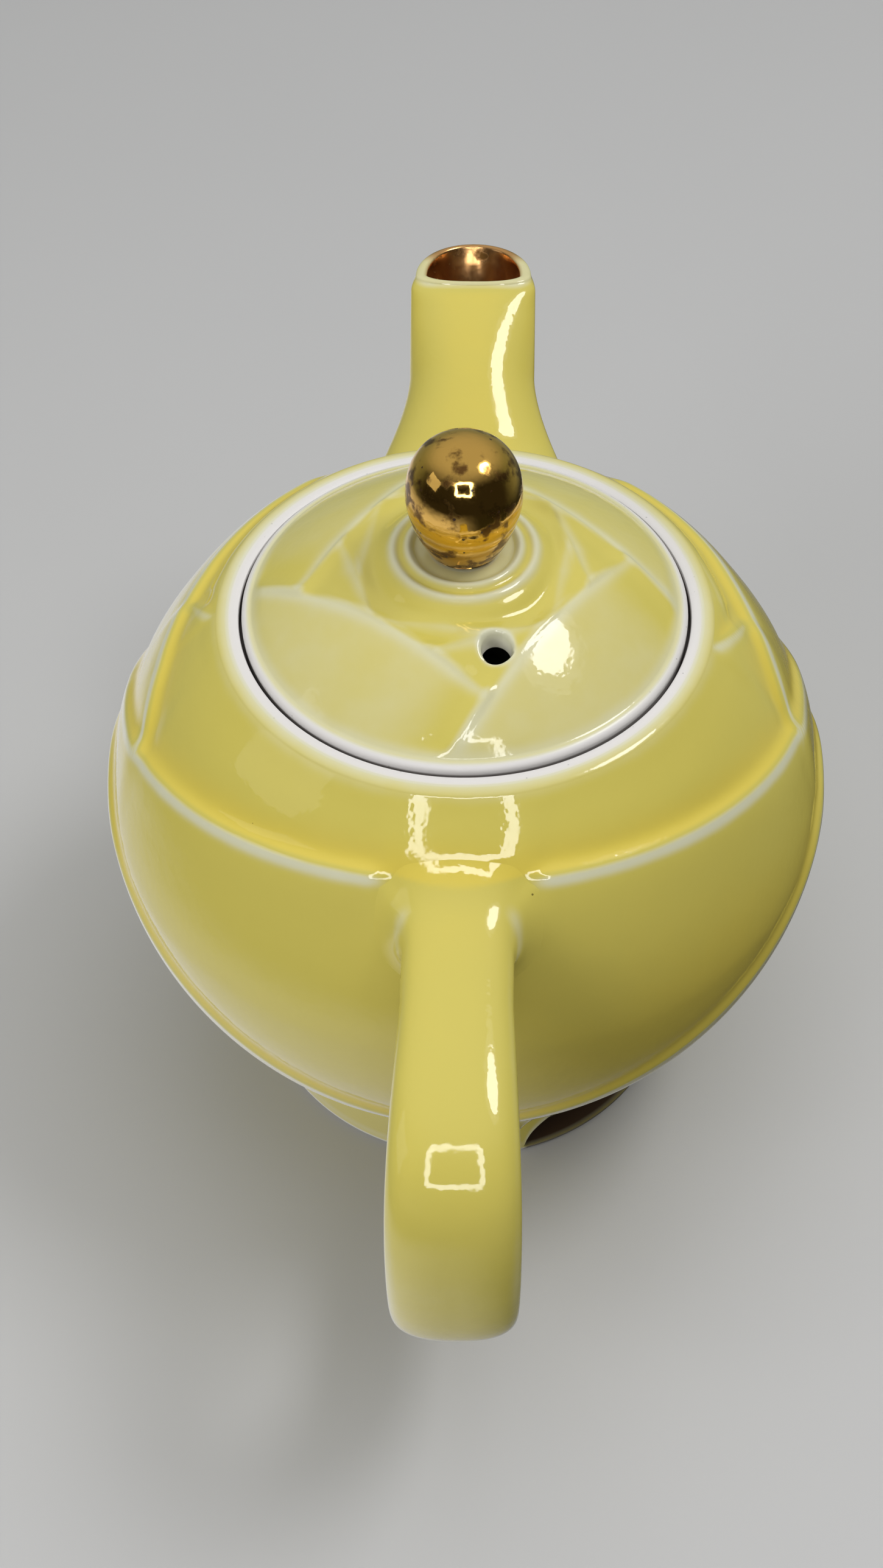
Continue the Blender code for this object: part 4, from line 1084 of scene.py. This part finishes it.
def knob_egg(look):
    """The knob: a short neck, then an egg turned about the axis. Its lower half is r^n + u^n = 1 with
    n = 1.55, cut off at the neck, and its upper half has n = 2.4."""
    knob, wall, surface = look.knob, PlainWall(look), Surface()
    degrees = columns(KNOB_COLUMNS)
    seat = lid_dome(look, knob.foot_radius) + JOINT_GAP
    widest = seat + knob.height - knob.crown
    neck = seat + knob.neck_height
    base = (1 - (knob.base_radius / knob.radius) ** EGG_LOW_POWER) ** (1 / EGG_LOW_POWER)
    low = np.linspace(1, 0, 44) ** 1.3 * base
    belly = (1 - low ** EGG_LOW_POWER) ** (1 / EGG_LOW_POWER)
    across, up = super_round(np.linspace(0, math.pi / 2, 60)[1:-1], EGG_HIGH_POWER)
    outline = np.concatenate([
        [(TENON_RADIUS, seat - TENON_DEPTH), (TENON_RADIUS, seat), (knob.foot_radius, seat),
         (knob.neck_radius, (seat + neck) / 2), (knob.neck_radius + 0.2 * MM, neck - 0.1 * MM),
         (knob.base_radius - 0.5 * MM, neck - 0.1 * MM), (knob.base_radius - 0.15 * MM, neck - 0.03 * MM)],
        np.stack([knob.radius * belly, widest - (widest - neck) / base * low], -1),
        np.stack([knob.radius * across, widest + knob.crown * up], -1)])
    outline[:, 1] += wall.seat_z
    ids = surface.add(turned(degrees, outline))
    surface.band(ids)
    surface.cap(ids[0], (0, 0, outline[0, 1]), flip=True)
    surface.cap(ids[-1], (0, 0, seat + knob.height + wall.seat_z))
    return surface


# Materials

class Nodes:
    """Short ways to add and join nodes in one tree."""

    def __init__(self, tree):
        self.tree = tree

    def add(self, kind, settings=None, **inputs):
        """A node of this kind, with settings on the node and values or links on its inputs."""
        node = self.tree.nodes.new(kind)
        for name, value in (settings or {}).items():
            setattr(node, name, value)
        return self.fill(node, **inputs)

    def fill(self, node, **inputs):
        """Put inputs by name, with an underscore for each space."""
        for name, value in inputs.items():
            self.put(node, name.replace("_", " "), value)
        return node

    def put(self, node, name, value):
        """Set one input by its name or number: a socket is linked, anything else is its value."""
        if isinstance(value, bpy.types.NodeSocket):
            self.tree.links.new(value, node.inputs[name])
        else:
            node.inputs[name].default_value = value

    def row(self, node, first, *values):
        """Put several inputs in the order of their numbers."""
        for number, value in enumerate(values, first):
            self.put(node, number, value)
        return node

    def math(self, operation, a, b, clamp=False):
        """One sum of two values."""
        node = self.add("ShaderNodeMath", {"operation": operation, "use_clamp": clamp})
        return self.row(node, 0, a, b).outputs[0]

    def plus(self, a, b):
        """a + b."""
        return self.math("ADD", a, b)

    def times(self, a, b):
        """a times b."""
        return self.math("MULTIPLY", a, b)

    def span(self, value, low, high, to_low=0.0, to_high=1.0):
        """Map low..high to to_low..to_high with soft ends."""
        node = self.add("ShaderNodeMapRange", {"interpolation_type": "SMOOTHSTEP"})
        return self.row(node, 0, value, low, high, to_low, to_high).outputs[0]

    def mix(self, factor, a, b):
        """Mix of two colours."""
        node = self.add("ShaderNodeMix", {"data_type": "RGBA"})
        self.put(node, 0, factor)
        return self.row(node, 6, a, b).outputs[2]

    def noise(self, place, scale, detail=2.0):
        """Cloudy values between nought and one."""
        return self.add("ShaderNodeTexNoise", Vector=place, Scale=scale, Detail=detail).outputs["Fac"]

    def place(self):
        """The piece's own coordinates."""
        return self.add("ShaderNodeTexCoord").outputs["Object"]

    def layer(self, name):
        """The value of one of the mesh's own layers."""
        return self.add("ShaderNodeAttribute", {"attribute_name": name}).outputs["Fac"]

    def group(self, tree, **inputs):
        """The outputs of a node group with values or links on its inputs."""
        return self.add("ShaderNodeGroup", {"node_tree": tree}, **inputs).outputs

    def bump(self, height, strength, distance):
        """The normal of a surface raised by height."""
        node = self.add("ShaderNodeBump", Strength=strength, Distance=distance, Height=height)
        return node.outputs["Normal"]


def colour(value):
    """A colour with full alpha, as sockets take it."""
    return (*value, 1.0)


def new_group(name, inputs, outputs):
    """An empty node group with named sockets; returns its tree, helper, inputs and output node."""
    tree = bpy.data.node_groups.new(name, "ShaderNodeTree")
    for way, sockets in (("INPUT", inputs), ("OUTPUT", outputs)):
        for socket, kind in sockets.items():
            tree.interface.new_socket(socket, in_out=way, socket_type=kind)
    nodes = Nodes(tree)
    return tree, nodes, nodes.add("NodeGroupInput").outputs, nodes.add("NodeGroupOutput")


FLOAT, COLOUR = "NodeSocketFloat", "NodeSocketColor"


def speck_group():
    """Small specks: one place in each cell of a Voronoi pattern, kept in a share of the cells."""
    if "specks" in bpy.data.node_groups:
        return bpy.data.node_groups["specks"]
    tree, nodes, given, out = new_group(
        "specks", {"Scale": FLOAT, "Size": FLOAT, "Share": FLOAT}, {"Mask": FLOAT})
    place = nodes.place()
    cells = nodes.add("ShaderNodeTexVoronoi", Vector=place, Scale=given["Scale"]).outputs
    reach = nodes.times(given["Size"], nodes.plus(nodes.noise(place, 2600.0, 3.0), 0.5))
    spot = nodes.math("LESS_THAN", cells["Distance"], reach)
    pick = nodes.add("ShaderNodeSeparateColor", Color=cells["Color"]).outputs[0]
    nodes.fill(out, Mask=nodes.times(spot, nodes.math("LESS_THAN", pick, given["Share"])))
    return tree


def glaze_group():
    """Glaze over white clay: thickness turns the tone from thin over plain to pooled, cloudy noise
    makes the thickness uneven, and fine noise gives the surface its slight ripple."""
    if "glaze" in bpy.data.node_groups:
        return bpy.data.node_groups["glaze"]
    tree, nodes, given, out = new_group(
        "glaze", {"Thickness": FLOAT, "Mottle": FLOAT, "Thin": COLOUR, "Plain": COLOUR, "Pooled": COLOUR},
        {"Color": COLOUR, "Roughness": FLOAT, "Ripple": FLOAT})
    place = nodes.place()
    cloud = nodes.math("SUBTRACT", nodes.noise(place, 38.0, 3.0), 0.5)
    streak = nodes.math("SUBTRACT", nodes.noise(place, 190.0, 4.0), 0.5)
    uneven = nodes.plus(nodes.times(cloud, given["Mottle"]),
                        nodes.times(streak, nodes.times(given["Mottle"], 0.45)))
    thick = nodes.math("ADD", given["Thickness"], uneven, clamp=True)
    light = nodes.mix(nodes.span(thick, 0.0, 0.5), given["Thin"], given["Plain"])
    fine = nodes.times(nodes.noise(place, 620.0, 1.0), 0.32)
    nodes.fill(out, Color=nodes.mix(nodes.span(thick, 0.5, 1.0), light, given["Pooled"]),
               Roughness=nodes.span(nodes.noise(place, 75.0, 3.0), 0.3, 0.75, 0.035, 0.085),
               Ripple=nodes.plus(nodes.noise(place, 140.0, 1.0), fine))
    return tree


def worn_gold_group():
    """Gold film: rubbed patches from noise, pits as specks, fine scratches and a slight ripple."""
    if "worn_gold" in bpy.data.node_groups:
        return bpy.data.node_groups["worn_gold"]
    tree, nodes, given, out = new_group(
        "worn_gold", {"Wear": FLOAT, "Bright": COLOUR, "Dull": COLOUR},
        {"Color": COLOUR, "Roughness": FLOAT, "Pits": FLOAT, "Ripple": FLOAT})
    place = nodes.place()
    rub = nodes.span(nodes.plus(nodes.noise(place, 260.0, 6.0), nodes.times(given["Wear"], 0.5)), 0.64, 0.78)
    scratch = nodes.span(nodes.noise(place, 1500.0, 4.0), 0.3, 0.8, 0.0, 0.06)
    nodes.fill(out, Color=nodes.mix(rub, given["Bright"], given["Dull"]),
               Roughness=nodes.plus(nodes.span(rub, 0.0, 1.0, 0.05, 0.30), scratch),
               Pits=nodes.group(speck_group(), Scale=620.0, Size=0.20, Share=0.16)["Mask"],
               Ripple=nodes.noise(place, 330.0, 2.0))
    return tree


def new_material(name):
    """A material with its node helper and its shader."""
    material = bpy.data.materials.new(name)
    material.use_nodes = True
    return material, Nodes(material.node_tree), material.node_tree.nodes["Principled BSDF"]


def ceramic_material(name, look, gilded=False):
    """Glazed clay that reads the piece's layers: glaze thickness, bare clay, clear glaze, rust and painted
    shade, gold.
    """
    material, nodes, shader = new_material(name)
    tone, rust = look.glaze, colour(look.glaze.rust)
    glaze = nodes.group(glaze_group(), Thickness=nodes.layer("glaze"), Mottle=tone.mottle,
                        Thin=colour(tone.thin), Plain=colour(tone.plain), Pooled=colour(tone.pooled))
    specks = nodes.group(speck_group(), Scale=150.0, Size=0.030, Share=0.10)["Mask"]
    grains = nodes.group(speck_group(), Scale=900.0, Size=0.16, Share=0.10)["Mask"]
    bare, stain_and_shade = nodes.layer("bare"), nodes.layer("rust")
    base = nodes.mix(nodes.layer("clear"), glaze["Color"], colour(tone.clear))
    base = nodes.mix(bare, base, nodes.mix(nodes.times(grains, 0.35), colour(tone.bare), rust))
    base = nodes.mix(nodes.times(specks, 0.75), base, rust)
    # The dark tint's layer darkens the surface: stains, and painted shade in gaps and hollows and on the
    # belly's right
    base = nodes.mix(stain_and_shade, base, rust)
    rough = nodes.plus(glaze["Roughness"], nodes.times(bare, 0.42))
    rough = nodes.plus(rough, nodes.span(stain_and_shade, 0.3, 0.9, 0.0, 0.5))
    if gilded:
        mask = nodes.layer("gold")
        gold = nodes.group(worn_gold_group(), Wear=0.1, Bright=colour(look.gold.copper),
                           Dull=colour(look.gold.dull))
        base = nodes.mix(mask, base, gold["Color"])
        rough = nodes.plus(rough, nodes.times(mask, nodes.plus(gold["Roughness"], 0.10)))
        nodes.fill(shader, Metallic=mask)
    nodes.fill(shader, Base_Color=base, Roughness=rough, IOR=1.52,
               Normal=nodes.bump(glaze["Ripple"], 0.23, 0.4 * MM))
    return material


def clear_material(name, look):
    """Clear glaze over white clay."""
    material, nodes, shader = new_material(name)
    tone, pale = look.glaze, colour(look.glaze.clear)
    glaze = nodes.group(glaze_group(), Thickness=0.3, Mottle=tone.mottle, Thin=colour(tone.bare),
                        Plain=pale, Pooled=pale)
    nodes.fill(shader, Base_Color=glaze["Color"], Roughness=glaze["Roughness"],
               Normal=nodes.bump(glaze["Ripple"], 0.18, 0.4 * MM))
    return material


def gold_material(name, look):
    """Burnished gold over glaze, rubbed and pitted."""
    material, nodes, shader = new_material(name)
    gold = nodes.group(worn_gold_group(), Wear=look.gold.wear, Bright=colour(look.gold.bright),
                       Dull=colour(look.gold.dull))
    nodes.fill(shader, Base_Color=nodes.mix(gold["Pits"], gold["Color"], colour(look.glaze.rust)),
               Roughness=gold["Roughness"], Metallic=nodes.math("SUBTRACT", 1.0, gold["Pits"]),
               Normal=nodes.bump(gold["Ripple"], 0.22, 0.3 * MM))
    return material


def floor_material(look):
    """A plain pale floor with a faint unevenness."""
    material, nodes, shader = new_material("floor_paint")
    pale = look.stage.floor
    shade = [0.97 * value for value in pale]
    uneven = nodes.noise(nodes.place(), 9.0, 4.0)
    nodes.fill(shader, Base_Color=nodes.mix(uneven, colour(shade), colour(pale)), Roughness=0.6)
    return material


# Stage

CAMERA_PLACE = (7.25 * MM, -335.2 * MM, 454.6 * MM)
CAMERA_PITCH = 48.532
CAMERA_YAW = 2.1
CAMERA_ROLL = 0.888
CAMERA_LENS = 54.53

# Lights: name, azimuth and elevation in degrees, distance, width, height, watts and any other shape
# than a rectangle
PANES = (
    ("pane", 98, 59, 1.1, 0.46, 0.31, 3.4, "ELLIPSE"),
    ("pane_glow", 98, 59, 1.15, 0.66, 0.46, 0.6, "ELLIPSE"),
    ("left_pane", -72, 28, 1.1, 0.55, 0.45, 0.5),
)
SOFT_LIGHTS = (
    ("canopy", 90, 75, 1.2, 1.60, 1.60, 7.9),
    ("fill", -48, 30, 1.0, 0.50, 0.50, 2.8),
    ("bounce", -32, 8, 1.0, 0.60, 0.30, 1.7),
)
# Four strips round a square, whose reflection is the bright outline on the handle, shoulder and knob
SQUARE_PLACE = (1, 40, 0.8)
SQUARE_HALF = 0.20
STRIP_WIDTH = 0.07
STRIP_POWER = 0.75
STRIP_SIDES = {"left": (-1, 0), "right": (1, 0), "upper": (0, 1), "lower": (0, -1)}
LIGHT_AIM = (0, 0, 0.1)


def camera_matrix():
    """Camera axes: right and down turned by the roll about the line of sight."""
    pitch, yaw, roll = (math.radians(a) for a in (CAMERA_PITCH, CAMERA_YAW, CAMERA_ROLL))
    ahead = np.array([-math.sin(yaw) * math.cos(pitch), math.cos(yaw) * math.cos(pitch), -math.sin(pitch)])
    level = np.array([math.cos(yaw), math.sin(yaw), 0])
    below = np.cross(ahead, level)
    right = level * math.cos(roll) + below * math.sin(roll)
    down = -level * math.sin(roll) + below * math.cos(roll)
    axes = np.eye(4)
    axes[:3, 0], axes[:3, 1], axes[:3, 2], axes[:3, 3] = right, -down, -ahead, CAMERA_PLACE
    return Matrix(axes.tolist())


def area_light(name, azimuth, elevation, distance, width, height, power, shape="RECTANGLE", slide=(0, 0)):
    """A flat light that faces the pot's shoulder, slid sideways and upwards in its own plane."""
    a, e = math.radians(azimuth), math.radians(elevation)
    towards = np.array([math.sin(a) * math.cos(e), -math.cos(a) * math.cos(e), math.sin(e)])
    side = np.array([math.cos(a), math.sin(a), 0])
    up = np.cross(towards, side)
    lamp = bpy.data.lights.new(name, "AREA")
    lamp.shape = shape
    lamp.size, lamp.size_y = width, height
    lamp.energy = power
    axes = np.eye(4)
    axes[:3, 0], axes[:3, 1], axes[:3, 2] = side, up, towards
    axes[:3, 3] = towards * distance + side * slide[0] + up * slide[1] + LIGHT_AIM
    item = bpy.data.objects.new(name, lamp)
    item.matrix_world = Matrix(axes.tolist())
    bpy.context.scene.collection.objects.link(item)
    return item


def room_light():
    """Soft light from all round: bright overhead and low on the left, grey behind, dark in front."""
    world = bpy.data.worlds.new("room")
    world.use_nodes = True
    nodes = Nodes(world.node_tree)
    direction = nodes.add("ShaderNodeTexCoord").outputs["Generated"]
    x, y, z = nodes.add("ShaderNodeSeparateXYZ", Vector=direction).outputs
    level = nodes.mix(nodes.span(y, -0.2, 0.7), (0.03, 0.027, 0.022, 1), (0.26, 0.29, 0.21, 1))
    ground = nodes.mix(nodes.span(x, -0.50, 0.45), (0.86, 0.86, 0.90, 1), (0.03, 0.03, 0.02, 1))
    level = nodes.mix(nodes.span(z, -0.60, -0.25), ground, level)
    lean = nodes.plus(nodes.times(z, 0.94), nodes.times(y, 0.34))
    sky = nodes.mix(nodes.span(lean, 0.30, 0.95), level, (0.56, 0.56, 0.54, 1))
    nodes.fill(world.node_tree.nodes["Background"], Color=sky)
    return world


def build_stage(look):
    """Floor, room light, panes on both sides, soft light from above and from the left, the square of
    strips and the camera."""
    scene, half = bpy.context.scene, look.stage.floor_size
    mesh = bpy.data.meshes.new("floor")
    corners = [(-half, -half, 0), (half, -half, 0), (half, half, 0), (-half, half, 0)]
    mesh.from_pydata(corners, [], [(0, 1, 2, 3)])
    mesh.materials.append(floor_material(look))
    floor = bpy.data.objects.new("floor", mesh)
    scene.collection.objects.link(floor)
    floor.visible_glossy = False

    for light in PANES:
        area_light(*light)
    for light in SOFT_LIGHTS:
        area_light(*light).visible_glossy = False
    for name, (right, up) in STRIP_SIDES.items():
        long, slide = 2 * SQUARE_HALF, (right * SQUARE_HALF, up * SQUARE_HALF)
        width, height = (STRIP_WIDTH, long) if right else (long, STRIP_WIDTH)
        strip = area_light(f"strip_{name}", *SQUARE_PLACE, width, height, STRIP_POWER, slide=slide)
        strip.visible_diffuse = False
    scene.world = room_light()
    scene.view_settings.view_transform = "Standard"

    lens = bpy.data.cameras.new("camera")
    lens.sensor_width = 36
    lens.lens = CAMERA_LENS
    lens.clip_start = 0.01
    camera = bpy.data.objects.new("camera", lens)
    camera.matrix_world = camera_matrix()
    scene.collection.objects.link(camera)
    scene.camera = camera


# Operators

class TEAPOT_OT_pot(Operator):
    """Round pot with petal edges, a bare rim and the ledge that carries the lid"""
    bl_idname = "teapot.pot"
    bl_label = "Pot shell"

    def execute(self, context):
        look = context.scene.petal_teapot
        glaze = ceramic_material("pot_glaze", look)
        add_piece("pot_shell", pot_shell(look), glaze, "pot", "pot_body")
        return {"FINISHED"}


class TEAPOT_OT_foot(Operator):
    """Foot ring with its arched window"""
    bl_idname = "teapot.foot"
    bl_label = "Foot"

    def execute(self, context):
        look = context.scene.petal_teapot
        glaze = ceramic_material("foot_glaze", look)
        add_piece("foot_band", foot_band(look), glaze, "pot", "foot_ring")
        return {"FINISHED"}


class TEAPOT_OT_handle(Operator):
    """Strap handle"""
    bl_idname = "teapot.handle"
    bl_label = "Handle"

    def execute(self, context):
        look = context.scene.petal_teapot
        glaze = ceramic_material("handle_glaze", look)
        add_piece("handle_strap", handle_strap(look), glaze, "pot", "handle")
        return {"FINISHED"}


class TEAPOT_OT_spout(Operator):
    """Spout with a gilt mouth, and the strainer behind it"""
    bl_idname = "teapot.spout"
    bl_label = "Spout and strainer"

    def execute(self, context):
        look = context.scene.petal_teapot
        glaze = ceramic_material("spout_glaze", look, gilded=True)
        add_piece("spout_shell", spout_shell(look), glaze, "pot", "spout")
        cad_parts["strainer"].material_slots[0].material = clear_material("strainer_glaze", look)
        return {"FINISHED"}


class TEAPOT_OT_lid(Operator):
    """Domed lid with petal edges and its bare skirt"""
    bl_idname = "teapot.lid"
    bl_label = "Lid and skirt"

    def execute(self, context):
        look = context.scene.petal_teapot
        glaze, clay = ceramic_material("lid_glaze", look), ceramic_material("skirt_clay", look)
        add_piece("lid_dome", lid_cover(look), glaze, "lid", "lid_cover")
        add_piece("lid_skirt", lid_skirt(look), clay, "lid", "lid_flange")
        return {"FINISHED"}


class TEAPOT_OT_knob(Operator):
    """Gilt knob"""
    bl_idname = "teapot.knob"
    bl_label = "Knob"

    def execute(self, context):
        look = context.scene.petal_teapot
        gold = gold_material("knob_gold", look)
        add_piece("knob_egg", knob_egg(look), gold, "lid", "lid_knob")
        return {"FINISHED"}


class TEAPOT_OT_stage(Operator):
    """Floor, lights and camera"""
    bl_idname = "teapot.stage"
    bl_label = "Stage"

    def execute(self, context):
        build_stage(context.scene.petal_teapot)
        return {"FINISHED"}


PIECES = (TEAPOT_OT_pot, TEAPOT_OT_foot, TEAPOT_OT_handle, TEAPOT_OT_spout, TEAPOT_OT_lid, TEAPOT_OT_knob,
          TEAPOT_OT_stage)


class TEAPOT_PT_panel(Panel):
    """The teapot's pieces and sizes"""
    bl_idname = "TEAPOT_PT_panel"
    bl_label = "Petal teapot"
    bl_space_type = "VIEW_3D"
    bl_region_type = "UI"
    bl_category = "Teapot"

    def draw(self, context):
        look = context.scene.petal_teapot
        for piece in PIECES:
            self.layout.operator(piece.bl_idname)
        for part in PetalTeapot.__annotations__:
            group, box = getattr(look, part), self.layout.box()
            for name in group.__annotations__:
                box.prop(group, name)


CLASSES = (PotSizes, FootSizes, SpoutSizes, HandleSizes, LidSizes, KnobSizes, GlazeLook, GoldLook, StageLook,
           PetalTeapot, *PIECES, TEAPOT_PT_panel)


def register():
    """Make the classes and the teapot's properties known to Blender."""
    for item in CLASSES:
        bpy.utils.register_class(item)
    bpy.types.Scene.petal_teapot = PointerProperty(type=PetalTeapot)


def unregister():
    """Take them away again."""
    del bpy.types.Scene.petal_teapot
    for item in reversed(CLASSES):
        bpy.utils.unregister_class(item)


def main():
    """Build every piece and the stage."""
    register()
    for piece in PIECES:
        group, name = piece.bl_idname.split(".")
        getattr(getattr(bpy.ops, group), name)()


if __name__ == "__main__":
    main()
